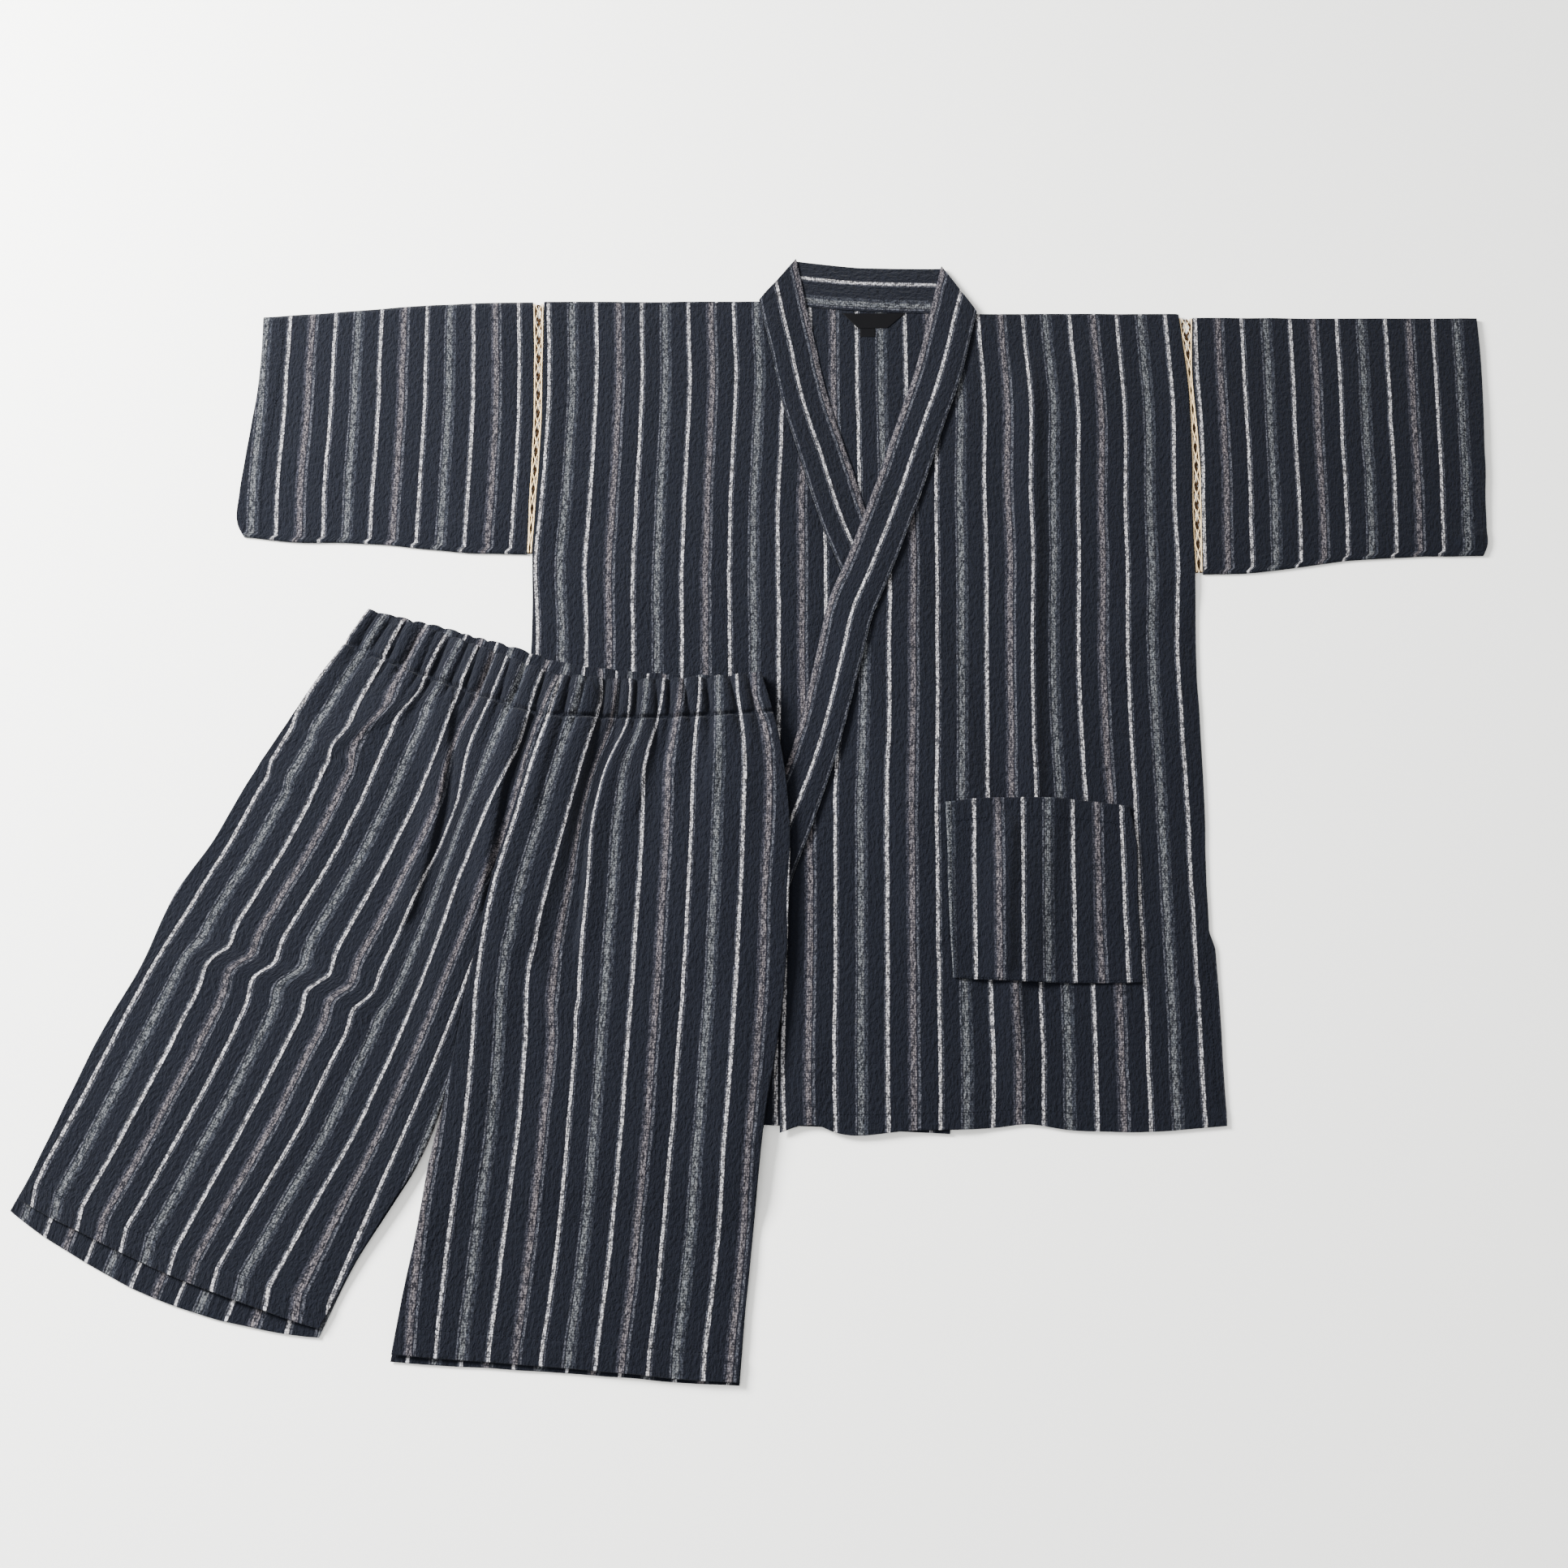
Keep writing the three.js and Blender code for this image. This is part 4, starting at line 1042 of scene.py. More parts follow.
print("middle of the pocket's mouth:", [float(v) for v in on_rows(POCKET, POCKET[0][0], 0.5)])


# %% The pocket
def pocket_relief(x, y, s, t):
    """How far the pocket stands above the front, in mm."""
    from_mouth = t * POCKET_DEPTH
    gape = 1.8 * np.exp(-from_mouth / 26) * np.sin(math.pi * np.clip(s, 0, 1)) ** 0.7
    hem = 0.5 * within(from_mouth, MOUTH_HEM, 0.6)
    pinch = -0.3 * line_at(from_mouth, MOUTH_HEM, 1.1)
    from_sides = np.minimum(np.minimum(s, 1 - s) * POCKET_WIDTH, (1 - t) * POCKET_DEPTH)
    turned_in = 0.45 * np.exp(-((from_sides / 5.5) ** 4))
    swells = uneven(x, y, 71, ((0.35, 48), (0.2, 16)))
    return np.maximum(0.4 + gape + hem + pinch + turned_in + swells + creases(x, y, POCKET_CREASES), 0)


def pocket():
    piece, s, t = grid("patch_pocket", POCKET_WIDTH, POCKET_CUT, 2)
    x, y = on_rows(POCKET, mix(POCKET[0][0], POCKET[-1][0], t), s)
    resting = height(settled(14), x, y)
    z = resting + GAP + CLOTH + pocket_relief(x, y, s, t) - rolled(s, t, POCKET_WIDTH, POCKET_DEPTH, 0.6)
    shape(piece, x, y, z, PITCH * stripe_at(GRAIN_POCKET, x, y), y)
    apply_wall(piece)
    lay(x, y, z)
    hand_over(piece, CREPE, "pocket")
    return piece


pocket_piece = pocket()

# %% [markdown]
# ## Shorts
# Each leg is a front and a back panel that lie on each other. An elastic in the waist casing
# gathers the cloth into short, uneven puckers, and under them a few deep folds run down the
# leg. The folds lean over: one side is steep and dark, and the other is broad and catches the
# light. The stripes close up where a fold hides some of the cloth. A simulation of elastic would
# give folds of its own, in other places. So each fold and pucker is placed one by one, and the
# grain table says how the stripes run over them.

# %% Leg tables, in rows across the leg
# Each row: (distance from the waist, left x, left y, right x, right y, bow)
LEG_RIGHT = [
    (0, -403, 175, -215, 103, 3), (40, -423, 141, -225, 63, -3), (90, -449, 101, -241, 14, -3),
    (150, -478, 49, -256, -43, -3), (210, -507, -4, -270, -100, -3), (270, -534, -59, -281, -160, -3),
    (325, -563, -107, -291.5, -215, -4), (410, -591, -181, -305, -298, -6), (470, -621, -242, -324, -354, -8),
    (530, -643, -298, -354, -406, -9), (580, -660, -344, -379, -449, -9), (635, -677, -388, -404, -499, -9),
]
LEG_LEFT = [
    (0, -215, 103, -22, 108, -4), (40, -225, 63, -11, 68, -2), (90, -241, 14, 0, 17, 0),
    (150, -256, -43, 6, -45, 0), (210, -270, -100, 4.5, -107, 0), (270, -281, -160, 2, -170, 0),
    (346, -294, -236, -6, -248, 0), (410, -304, -299, -17, -313, 0), (470, -315, -358, -23, -374, 0),
    (530, -323, -417, -29, -437, 0), (583, -332, -469, -34.5, -492, 0), (635, -340, -521, -39, -545, 0),
]
BACK_ENDS_RIGHT = [(0, -403, 175, -214, 119, 4), (635, -685, -398, -404, -506, -23)]
BACK_ENDS_LEFT = [(0, -214, 119, -22, 108, -5), (635, -341, -527, -38.5, -547, 0)]
GRAIN_LEG_RIGHT = ((-3, -1, 1, 3, 4, 5, 6, 7, 8, 9), [
    (-403, -674, -624.1, -574.1, -521.3, -497.5, -473.1, -446.5, -420.2, -393.5, -366.7),
    (-332, -644.5, -591.3, -539.9, -488.3, -462.5, -436.1, -410.5, -384.7, -362, -339),
    (-258, -612.5, -558.8, -506.9, -455.6, -430, -404.2, -379, -354.1, -333, -311.5),
    (-183, -580, -528.1, -476.3, -420.5, -395, -368.8, -346, -327.1, -305.4, -286),
    (-106, -540.2, -487.2, -436.4, -384.6, -359.6, -337.6, -320.7, -304.4, -279.4, -260),
    (-27, -501, -448.3, -399.9, -349.2, -325.9, -308, -297.8, -277.9, -254, -232),
    (37, -475, -426, -376.6, -326.2, -313.5, -297, -275.3, -249.7, -241, -220),
    (88, -453.6, -402, -352, -311.7, -292, -277.6, -258, -238, -223.7, -203),
    (139, -422.8, -379.7, -329.3, -293.6, -276, -260, -240, -221, -200, -180),
])
GRAIN_LEG_LEFT = ((0, 1, 3, 4, 5, 7, 9, 11, 12), [
    (-515, -324.5, -300.5, -255.5, -231.8, -209.2, -162.1, -115.3, -68.1, -45),
    (-403, -317.8, -292, -244.9, -220.9, -197.2, -150.8, -104.4, -56.7, -34.5),
    (-332, -309, -285.2, -238.2, -215.5, -192.8, -145.8, -99.5, -53.1, -30.7),
    (-258, -304, -280.4, -234.2, -210, -189, -142.2, -95.5, -47.8, -24),
    (-183, -300, -277.3, -232.4, -210, -186.2, -138.4, -91, -44, -19.6),
    (-106, -290, -266.9, -218.2, -199, -181.5, -134.4, -87.8, -40.4, -17.7),
    (-27, -270, -247, -200.3, -188, -176.7, -131.7, -84.9, -37.1, -12.9),
    (13, -260, -236.9, -191, -179, -168, -131.1, -84.3, -36.7, -13),
    (57, -247, -224.5, -179.4, -164.2, -149, -121.6, -82.6, -40.9, -19.5),
    (83, -238, -217.4, -173.9, -161, -146.2, -116.7, -80.2, -44.6, -27.9),
    (105, -232, -211, -175, -160, -146.6, -114.5, -79.6, -45.6, -28.8),
])
print("stripes measured on the legs:", len(GRAIN_LEG_RIGHT[0]) + len(GRAIN_LEG_LEFT[0]))

# %% Folds of the shorts, each (path, rise, width to the left, width to the right, fade)
SLASH_RIGHT = [(-440, 24), (-396, 57), (-362, 76), (-319, 101)]
KNEE_RIGHT = [(-569, -158), (-521, -166), (-474, -182), (-426, -192), (-386, -209), (-336, -216)]
FLANK_RIGHT = [(-476, 76), (-458, 58), (-446, 46), (-428, 31), (-405, 18), (-384, 13)]
EDGE_RIGHT = [(-502, 28), (-482, 10), (-466, -4), (-450, -14)]
KNEE_LEFT = [(-276, -144), (-232, -167), (-204, -212), (-186, -218), (-158, -227)]
FOLDS_RIGHT = [
    ([(-310, 112), (-319, 92), (-320, 29), (-324, -33), (-335, -88), (-352, -150)], 6.0, 3.0, 15, 0.12),
    ([(-306, 84), (-312, 60), (-313, 20), (-318, -30), (-328, -84)], -2.4, 4, 4, 0.2),
    ([(-240, 56), (-251, 18), (-258, -8), (-264, -50), (-272, -110)], -2.0, 4, 4, 0.2),
    ([(-232, 82), (-247, 60), (-258, 19), (-265, -7), (-270, -48), (-282, -140)], 5.0, 3.0, 13, 0.15),
    (SLASH_RIGHT, 3.2, 18, 6, 0.2),
    (FLANK_RIGHT, 2.6, 7, 5),
    (EDGE_RIGHT, 2.0, 8, 5),
    (KNEE_RIGHT, 2.6, 8, 18),
    ([(-540, -80), (-470, -108), (-410, -118)], 0.8, 14, 12),
    ([(-380, 120), (-400, 60), (-425, 0)], 0.9, 10, 12),
    ([(-352, 110), (-368, 40), (-395, -60)], 1.0, 9, 12),
    ([(-276, 110), (-290, 40), (-300, -60)], 1.0, 8, 10),
    ([(-360, -160), (-410, -280), (-470, -400)], 1.0, 16, 20),
    ([(-470, -60), (-530, -190), (-590, -320)], 0.9, 18, 16),
    ([(-560, -260), (-590, -330), (-610, -400)], 0.8, 14, 14),
    ([(-420, -330), (-470, -350), (-540, -340)], 0.6, 12, 14),
]
FOLDS_LEFT = [
    ([(-160, 96), (-172, 70), (-184, 40), (-194, 5), (-203, -30), (-213, -75), (-224, -120), (-236, -185)],
     4.6, 9, 14, 0.2),
    ([(-148, 70), (-160, 45), (-174, 5), (-182, -30), (-187, -75), (-190, -120), (-195, -180)],
     -4.2, 2.5, 11, 0.2),
    ([(-143, 60), (-156, 35), (-168, 0), (-176, -30), (-181, -75), (-184, -120), (-189, -180)],
     2.8, 13, 3, 0.2),
    (KNEE_LEFT, 2.6, 8, 16),
    ([(-120, 66), (-132, 10), (-143, -50)], 3.2, 4, 12),
    ([(-60, 66), (-64, 20), (-66, -30)], 2.6, 4, 10),
    ([(-96, 70), (-100, 20), (-112, -50)], 1.8, 6, 9),
    ([(-34, 70), (-34, 10), (-30, -50)], 1.6, 6, 9),
    ([(-215, 66), (-228, 10), (-238, -50)], 2.6, 5, 11),
    ([(-250, -60), (-262, -120), (-262, -190)], 1.0, 10, 12),
    ([(-120, -150), (-126, -280), (-134, -420)], 0.9, 18, 18),
    ([(-30, -120), (-40, -260), (-46, -420)], 0.9, 14, 18),
    ([(-210, -260), (-222, -360), (-236, -470)], 0.9, 16, 16),
    ([(-290, -250), (-270, -320), (-276, -420)], 0.8, 12, 16),
]
# Where a fold steps the stripes aside: (path, shift in mm, width in mm)
SIDESTEPS_RIGHT = [
    (SLASH_RIGHT, 3.6, 12), (KNEE_RIGHT, 5.0, 17), (FLANK_RIGHT, -1.7, 13), (EDGE_RIGHT, -1.7, 12),
]
SIDESTEPS_LEFT = [(KNEE_LEFT, 1.0, 14)]
print("folds:", len(FOLDS_RIGHT) + len(FOLDS_LEFT))

# %% The gathered waist
# Each pucker of the casing: (share of the way across, depth in mm, half width in mm)
PUCKERS_RIGHT = [
    (0.05, 4.0, 3.0), (0.13, 6.0, 3.8), (0.2, 4.2, 2.8), (0.29, 7.5, 3.8), (0.36, 4.0, 2.8),
    (0.43, 8.5, 3.8), (0.53, 6.0, 3.6), (0.59, 4.8, 2.8), (0.67, 7.4, 3.6), (0.75, 4.8, 3.0),
    (0.83, 8.0, 3.8), (0.93, 6.0, 3.4),
]
PUCKERS_LEFT = [
    (0.02, 4.6, 2.8), (0.06, 6.4, 3.0), (0.14, 4.6, 2.8), (0.23, 8.4, 3.6), (0.31, 6.4, 3.4),
    (0.39, 7.2, 3.2), (0.48, 5.4, 3.4), (0.55, 7.6, 3.4), (0.62, 5.4, 2.8), (0.73, 7.8, 3.8),
    (0.84, 6.2, 3.6), (0.93, 6.8, 3.4),
]


def gathers(s, down, width, puckers, seed):
    """Puckers that are deepest at the casing's stitch line and fade out unevenly below it."""
    result = np.zeros(np.shape(s))
    for number, (place, depth, half) in enumerate(puckers):
        lean = 0.02 * math.sin(2.7 * number + seed) * down / 60
        reach = 30 + 18 * math.sin(1.9 * number + seed)
        below = np.clip((down - CASING) / reach, 0, 3)
        above = np.clip((CASING - down) / CASING, 0, 1)
        strength = np.exp(-below) * (1 - 0.35 * above)
        spread = 0.85 * half * (1 + 0.8 * below)
        away = np.abs((s - place) * width + lean * width) / spread
        result -= depth * strength * np.exp(-away)
    fine = swell(s * width, down * 0.12, 6.0, seed) * np.exp(-np.abs(down - CASING) / 18)
    return result + 1.2 * fine


print("puckers:", len(PUCKERS_RIGHT) + len(PUCKERS_LEFT))

# %% Sizes of a leg panel
LEG_WIDTH = 290.0
LEG_CUT = 640.0  # its length with the cloth that turns over at the hem
WAIST_WIDTH = 0.68 * LEG_WIDTH
HEM_LINE = LEG_LENGTH - LEG_HEM
FRONT_FACES = (2.1, 3.2)  # size of a face across and along the leg
BACK_FACES = (4, 6)
# Rows of the grid are drawn together within 7 mm of the two stitch lines
ROW_SHARES = (0, 0.06, 0.15, 0.92, 0.97, 1)
ROW_PLACES = (0, CASING - 7, CASING + 7, HEM_LINE - 7, HEM_LINE + 7, LEG_LENGTH)
LEG_SOFT = 4.4  # relief up to here keeps its height, in mm
LEG_CAP = 2.8  # and above that it rises no more than this
print("hem's stitch line, mm from the waist:", HEM_LINE)


# %% Relief of a leg panel
def held_low(relief):
    """Keeps the tops of folds from adding up: above LEG_SOFT mm the height eases off."""
    over = np.maximum(relief - LEG_SOFT, 0)
    return np.minimum(relief, LEG_SOFT) + LEG_CAP * np.tanh(over / LEG_CAP)


def leg_relief(on_top, x, y, s, t, down, gathered, folds, seed):
    """How far a panel stands above what it lies on, in mm. The back is plain and low."""
    from_hem = LEG_LENGTH - down
    pinch = -0.6 * line_at(from_hem, LEG_HEM, 1.4) - 4.0 * line_at(down, CASING, 1.7)
    swells = uneven(x, y, seed, ((0.7, 95), (0.45, 38), (0.25, 14)))
    if not on_top:
        return 1.0 + 0.4 * swells + 0.3 * gathered + 0.3 * pinch
    hem_fold = 0.6 * within(from_hem, LEG_HEM, 0.8)
    loft = 1.2 * np.sin(math.pi * s) ** 0.6 * np.sin(math.pi * t) ** 0.4
    casing = 2.0 * np.exp(-(((down - 0.5 * CASING) / (0.44 * CASING)) ** 4))
    body = 1.6 + 1.6 * line_at(down, CASING, 60)
    return held_low(body + loft + casing + swells + hem_fold + creases(x, y, folds)) + pinch + gathered


# %% Lay one panel of a leg
def leg(face, side, rows, grain, puckers, seed, hem_turn, folds=(), sidesteps=()):
    """Lays a panel. Below the hem's stitch line its stripes lean aside, by `hem_turn` for each mm."""
    on_top = face == "front"
    piece, s, t = grid(f"leg_{face}_{side}", LEG_WIDTH, LEG_CUT, *(FRONT_FACES if on_top else BACK_FACES))
    down = np.interp(t, ROW_SHARES, ROW_PLACES)
    gathered = gathers(s, down, WAIST_WIDTH, puckers, seed)
    dented = down - 0.4 * (gathered + 2.5) * np.exp(-down / 9)  # the waist's edge follows the puckers
    x, y = on_rows(rows, dented, s)
    resting = height(settled(30 if on_top else 34), x, y)
    relief = np.maximum(leg_relief(on_top, x, y, s, t, down, gathered, folds, seed), -0.1)
    z = resting + GAP + CLOTH + relief - rolled(s, t, LEG_WIDTH, LEG_CUT, 0.5)
    u = PITCH * (stripe_at(grain, x, y) + (0 if on_top else 1))
    u = u + sum(sidestep(x, y, *row) for row in sidesteps)
    u = u - hem_turn * np.maximum(down - HEM_LINE, 0)
    shape(piece, x, y, z, u, -down)
    apply_wall(piece)
    lay(x, y, z)
    hand_over(piece, CREPE, f"shorts_{side}_{face}")
    return piece


def with_ends(rows, ends):
    """The same rows with another first and last one."""
    return ends[:1] + rows[1:-1] + ends[1:]


# %% The four panels
leg("back", "right", with_ends(LEG_RIGHT, BACK_ENDS_RIGHT), GRAIN_LEG_RIGHT, PUCKERS_LEFT, 81, 0.2)
leg("back", "left", with_ends(LEG_LEFT, BACK_ENDS_LEFT), GRAIN_LEG_LEFT, PUCKERS_RIGHT, 84, 0.0)
leg_front_right = leg("front", "right", LEG_RIGHT, GRAIN_LEG_RIGHT, PUCKERS_RIGHT, 87, 0.28, FOLDS_RIGHT,
                      SIDESTEPS_RIGHT)
leg_front_left = leg("front", "left", LEG_LEFT, GRAIN_LEG_LEFT, PUCKERS_LEFT, 90, 0.04, FOLDS_LEFT,
                     SIDESTEPS_LEFT)
print("highest point of the shorts, mm:", round(float(tray.max()), 1))

# %% [markdown]
# ## Cord lace at the armholes
# Each sleeve is joined to the body by a strip of knotted cord lace. Two cords run along its
# edges, and two more cross between them and are knotted to them at even steps. Curves with a
# bevel would make cords too, but their rings stay round, and a twisted cord's don't. Here a cord
# is a grid wrapped round a path, so that it stays a mesh of even rings. The strip at the back
# shows through the front one, and the sleeve's shade on it is painted shade, dark brown in its cord.


# %% A cord along a path
CORD_RADIUS = 0.75
RING_SIDES = 7
CLOSE_THE_CORD = (
    (bpy.ops.mesh.remove_doubles, {"threshold": 0.03 * MM}),
    (bpy.ops.mesh.fill_holes, {"sides": 0}),
    (bpy.ops.mesh.normals_make_consistent, {"inside": False}),
)


def cord(name, path, radius):
    """A round cord along a path of points in layout millimetres, thick where it is twisted."""
    path = np.asarray(path, float)
    piece, corners = add_grid(name, RING_SIDES, len(path) - 1)
    ring = np.rint((1 - corners[:, 1]) / 2 * (len(path) - 1)).astype(int)
    angle = (corners[:, 0] + 1) * math.pi
    heading = np.gradient(path, axis=0)[ring]
    flat = np.hypot(heading[:, 0], heading[:, 1])
    centre = path[ring]
    twist = radius * (1 + 0.16 * np.sin(ring * 1.9 + angle))
    x = centre[:, 0] + twist * np.cos(angle) * heading[:, 1] / flat
    y = centre[:, 1] - twist * np.cos(angle) * heading[:, 0] / flat
    z = centre[:, 2] + 0.8 * twist * np.sin(angle)
    piece.data.vertices.foreach_set("co", to_frame(*drift(x, y), z).ravel())
    piece.data.update()
    in_edit_mode(*CLOSE_THE_CORD)
    bpy.ops.object.shade_smooth()
    return piece


print("a cord is this thick, mm:", 2 * CORD_RADIUS)

# %% The four strips
LACE_REPEAT = 21.0
LACE_INSET = 1.2  # the edge cords lie this far inside the seams
# Each side of the lace: (level in mm, cord, start of its pattern, sizes of its four cords)
LACE_SIDES = {
    # the back strip's dark brown cord is painted shade from the sleeve
    "back": (0.35, CORD_PAINTED_SHADE, 0.5, (1.0, 1.0, 1.3, 1.3)),
    "front": (2.6, CORD, 0.0, (0.86, 0.86, 0.62, 0.62)),
}


def lace(name, table, level, material, start, sizes):
    """A strip of four cords. Sizes are shares of CORD_RADIUS, for the edges and for the crossings."""
    keys, sleeve_x, body_x = np.array(table, float).T
    y = np.arange(keys[0] - 1.5, keys[-1] + 1.5, -1.25)
    outer = smooth(keys, sleeve_x, y)
    inner = smooth(keys, body_x, y)
    inset = LACE_INSET * np.sign(inner[0] - outer[0])
    low = outer + inset
    high = inner - inset
    phase = (keys[0] - y) / LACE_REPEAT + start
    wave = np.abs((phase % 2) - 1)
    wave = mix(wave, wave * wave * (3 - 2 * wave), 0.35)
    knot = line_at((phase + 0.5) % 1, 0.5, 0.09)
    z = level + CORD_RADIUS
    paths = [np.stack([side, y, z + 0.25 * knot], axis=1) for side in (low, high)]
    for w, lift in ((wave, 0.5), (1 - wave, -0.15)):
        crossing = mix(low, high, 0.08 + 0.84 * w)
        paths.append(np.stack([crossing, y, z + lift * np.sin(math.pi * w) + 0.35 * knot], axis=1))
    cords = [
        cord(f"{name}_cord_{k}", path, CORD_RADIUS * size) for k, (path, size) in enumerate(zip(paths, sizes))
    ]
    hand_over(join(f"lace_strip_{name}", cords), material, f"lace_{name}")


for layer, settings in LACE_SIDES.items():
    lace(f"right_{layer}", LACE_RIGHT, *settings)
    lace(f"left_{layer}", LACE_LEFT, *settings)

# %% [markdown]
# ## Labels
# A black woven label is sewn inside the back of the neck, with a small size tag under it. Both
# are left bare. They could be drawn on the cloth, but a ribbon has a cut edge and lies a little
# proud. So each is a small panel between its four corners.


# %% Labels inside the neck
def label(name, node, quad, level, seed):
    """A ribbon between four corners: lower left, lower right, upper right, upper left."""
    (ax, ay), (bx, by), (cx, cy), (dx, dy) = quad
    width, length = cx - dx, dy - ay
    piece, s, t = grid(name, width, length, 2)
    x = mix(mix(dx, cx, s), mix(ax, bx, s), t)
    y = mix(mix(dy, cy, s), mix(ay, by, s), t)
    z = level + 0.12 * swell(x, y, 9, seed) - rolled(s, t, width, length, 0.25)
    shape(piece, x, y, z, x, y)
    apply_wall(piece, 0.5)
    hand_over(piece, RIBBON, node)


label("woven_label", "neck_label", [(76, 486), (105, 486), (124, 503), (60, 503)], 2.4, 95)
label("woven_size_tag", "size_tag", [(78, 476), (93, 476), (93, 485.7), (78, 485.7)], 2.3, 96)

# %% [markdown]
# ## Stitching
# Hems, casing and pocket are sewn with navy thread, about eight stitches to the inch. A bump in
# the material could hint at them, but it would catch no light at the edge. One stitch is
# modelled, a small bead drawn out along the seam, and copied along each row. A ray that is sent
# down on the cloth finds where each stitch lies, so that the row follows every pucker.

# %% Places along a row
STITCH_STEP = 3.2
STITCH_LENGTH = 2.3
STITCH_WIDTH = 0.85  # twice the real thread, so that it still shows from above


def points_along(path, step):
    """Even places along a path of straight runs, and the heading at each."""
    path = np.asarray(path, float)
    runs = np.hypot(*np.diff(path, axis=0).T)
    ends = np.concatenate([[0], np.cumsum(runs)])
    at = np.arange(step / 2, ends[-1], step)
    x, y = (np.interp(at, ends, path[:, k]) for k in (0, 1))
    run_of = np.clip(np.searchsorted(ends, at) - 1, 0, len(runs) - 1)
    turn = np.arctan2(np.diff(path[:, 1])[run_of], np.diff(path[:, 0])[run_of])
    return x, y, turn


print("stitches to the inch:", round(25.4 / STITCH_STEP, 1))

# %% Stitches along a row
ABOVE_ALL = 60.0  # height from which the rays are sent down
THREAD_REST = 0.12  # a stitch's middle lies this far off the cloth


def one_stitch():
    bpy.ops.object.select_all(action="DESELECT")
    bpy.ops.mesh.primitive_uv_sphere_add(segments=6, ring_count=4, radius=0.5 * MM)
    stitch = bpy.context.object
    stitch.name = "stitch"
    return stitch


def sew(name, cloth, paths):
    """Rows of stitches on a piece of cloth, joined into one mesh."""
    pattern = one_stitch()
    stitches = []
    for path in paths:
        x, y, turn = points_along(path, STITCH_STEP)
        places = to_frame(*drift(x, y), np.full(x.shape, ABOVE_ALL))
        for place, angle in zip(places, turn):
            hit, spot, normal, _ = cloth.ray_cast(place, (0, 0, -1))
            if not hit:
                continue
            copy = pattern.copy()
            copy.data = pattern.data.copy()
            copy.location = spot + normal * THREAD_REST * MM
            copy.rotation_euler = (0, 0, angle)
            copy.scale = (STITCH_LENGTH, STITCH_WIDTH, STITCH_WIDTH)
            bpy.context.collection.objects.link(copy)
            stitches.append(copy)
    bpy.data.objects.remove(pattern)
    row = join(name, stitches)
    bpy.ops.object.transform_apply(location=True, rotation=True, scale=True)
    bpy.ops.object.shade_smooth()
    hand_over(row, THREAD_NAVY, None)


# %% Sew the shorts
def level_row(rows, distance):
    """A path across a leg, level with its hem."""
    s = np.linspace(0.02, 0.98, 40)
    return list(zip(*on_rows(rows, np.full(s.shape, distance), s)))


for side, cloth, leg_rows in (("right", leg_front_right, LEG_RIGHT), ("left", leg_front_left, LEG_LEFT)):
    sew(f"leg_{side}_stitches", cloth, [level_row(leg_rows, distance) for distance in (CASING, HEM_LINE)])

# %% Sew the jacket
mouth = [(153, -41), (195, -36), (238, -35), (281, -37), (323, -42)]
sides = [(153, -24), (154.5, -117), (156.5, -187.5), (240, -193), (324, -189.5), (324.5, -117), (321.5, -26)]
tacks = [[(x, -24), (x, -33)] for x in (154, 155.5, 320, 321.5)]
sew("pocket_stitches", pocket_piece, [mouth, sides] + tacks)
hem_row = [(x, y + JACKET_HEM) for x, y in HEM_FRONT_LEFT if 0 < x < 392]
slit_row = [(386, -143), (388, -200), (389, -305)]
sew("front_left_stitches", front_left, [hem_row, slit_row])
sew("sleeve_right_stitches", sleeve_right, [[(x + CUFF_HEM, y) for y, x in CUFF_RIGHT]])
sew("sleeve_left_stitches", sleeve_left, [[(x - CUFF_HEM, y) for y, x in CUFF_LEFT]])

# %% [markdown]
# ## Camera and light
# The photograph looks down steeply, 72 degrees above the floor, from about two metres. One
# large soft lamp stands at the upper left, and the room fills the shadows. An evenly bright room
# alone would be simpler, but it would leave the folds flat. So the key lamp is low enough for
# each fold to have a light and a dark side, and a wide, weak lamp from the front opens the
# darkest ones.

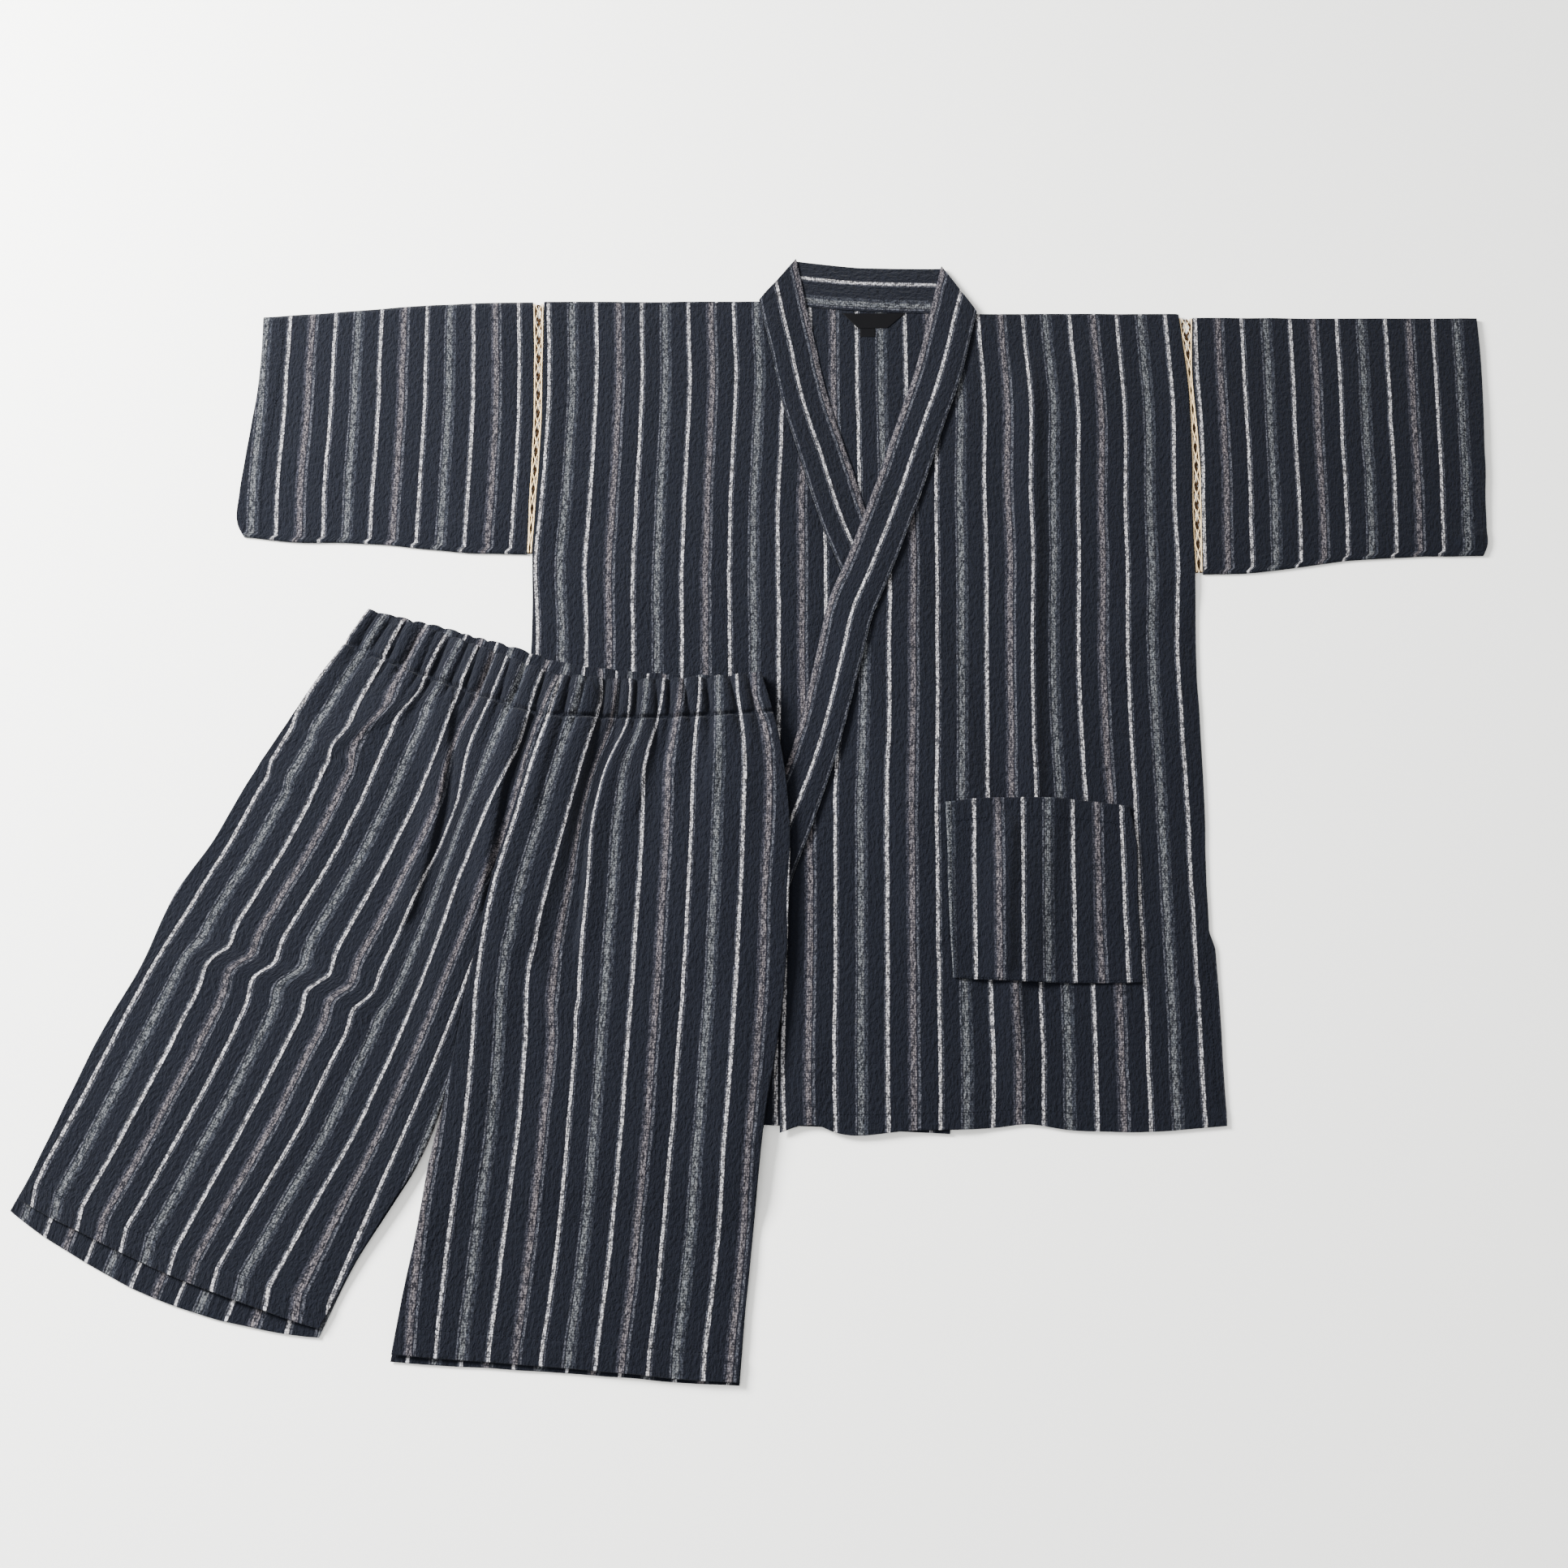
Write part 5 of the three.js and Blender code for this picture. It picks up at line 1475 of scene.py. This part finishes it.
# %% Camera
CAMERA_PLACE = (0.0, -615.7, 1894.8)
FOCAL_SHARE = 2600 / 1932  # focal length as a share of the image's width
SENSOR = 36.0
ELEVATION = 72

bpy.ops.object.camera_add()
camera = bpy.context.object
camera.location = (np.array(CAMERA_PLACE) + SHIFT) * MM
camera.rotation_euler = (math.radians(90 - ELEVATION), 0, 0)
camera.data.sensor_width = SENSOR
camera.data.lens = SENSOR * FOCAL_SHARE
bpy.context.scene.camera = camera
print("lens, mm:", round(camera.data.lens, 2))

# %% Floor of matt white paper
# Seamless paper gives the eye a soft white without shine, a little warm
FLOOR_DROP = 0.3  # below the cloth's undersides

bpy.ops.mesh.primitive_plane_add(size=8, location=(0, 0, -FLOOR_DROP * MM))
bpy.ops.object.transform_apply(location=True, rotation=False, scale=False)
floor = bpy.context.object
floor.name = "floor"
paper, paper_tree = new_material("matt_white_paper")
paper_shader = add_node(paper_tree, "ShaderNodeBsdfPrincipled",
                        {"Base Color": colour("#fffffb"), "Roughness": 0.9, "Specular IOR Level": 0.1})
add_node(paper_tree, "ShaderNodeOutputMaterial", links={"Surface": (paper_shader, 0)})
floor.data.materials.append(paper)
print("floor lies at, mm:", round(floor.data.vertices[0].co.z / MM, 2))


# %% Lamps
def lamp(name, place, aim, size, power):
    """A square soft lamp that faces a point on the floor."""
    bpy.ops.object.light_add(type="AREA", location=place)
    light = bpy.context.object
    light.name = name
    light.data.size = size
    light.data.energy = power
    direction = np.array(aim, float) - np.array(place, float)
    yaw = math.atan2(-direction[0], direction[1])
    tilt = math.atan2(math.hypot(direction[0], direction[1]), -direction[2])
    light.rotation_euler = (tilt, 0, yaw)
    print(f"{name}: {power} W, tilted by {math.degrees(tilt):.0f} degrees")


lamp("key_lamp", (-2.1, 1.0, 1.45), (-0.1, 0.0, 0.0), 1.0, 372)
lamp("fill_lamp", (-0.8, -1.0, 2.6), (0.0, 0.0, 0.0), 2.4, 45)
world = bpy.data.worlds.new("room")
world.use_nodes = True
room = world.node_tree.nodes["Background"]
room.inputs["Color"].default_value = (1.0, 1.0, 1.0, 1.0)
room.inputs["Strength"].default_value = 0.85
bpy.context.scene.world = world
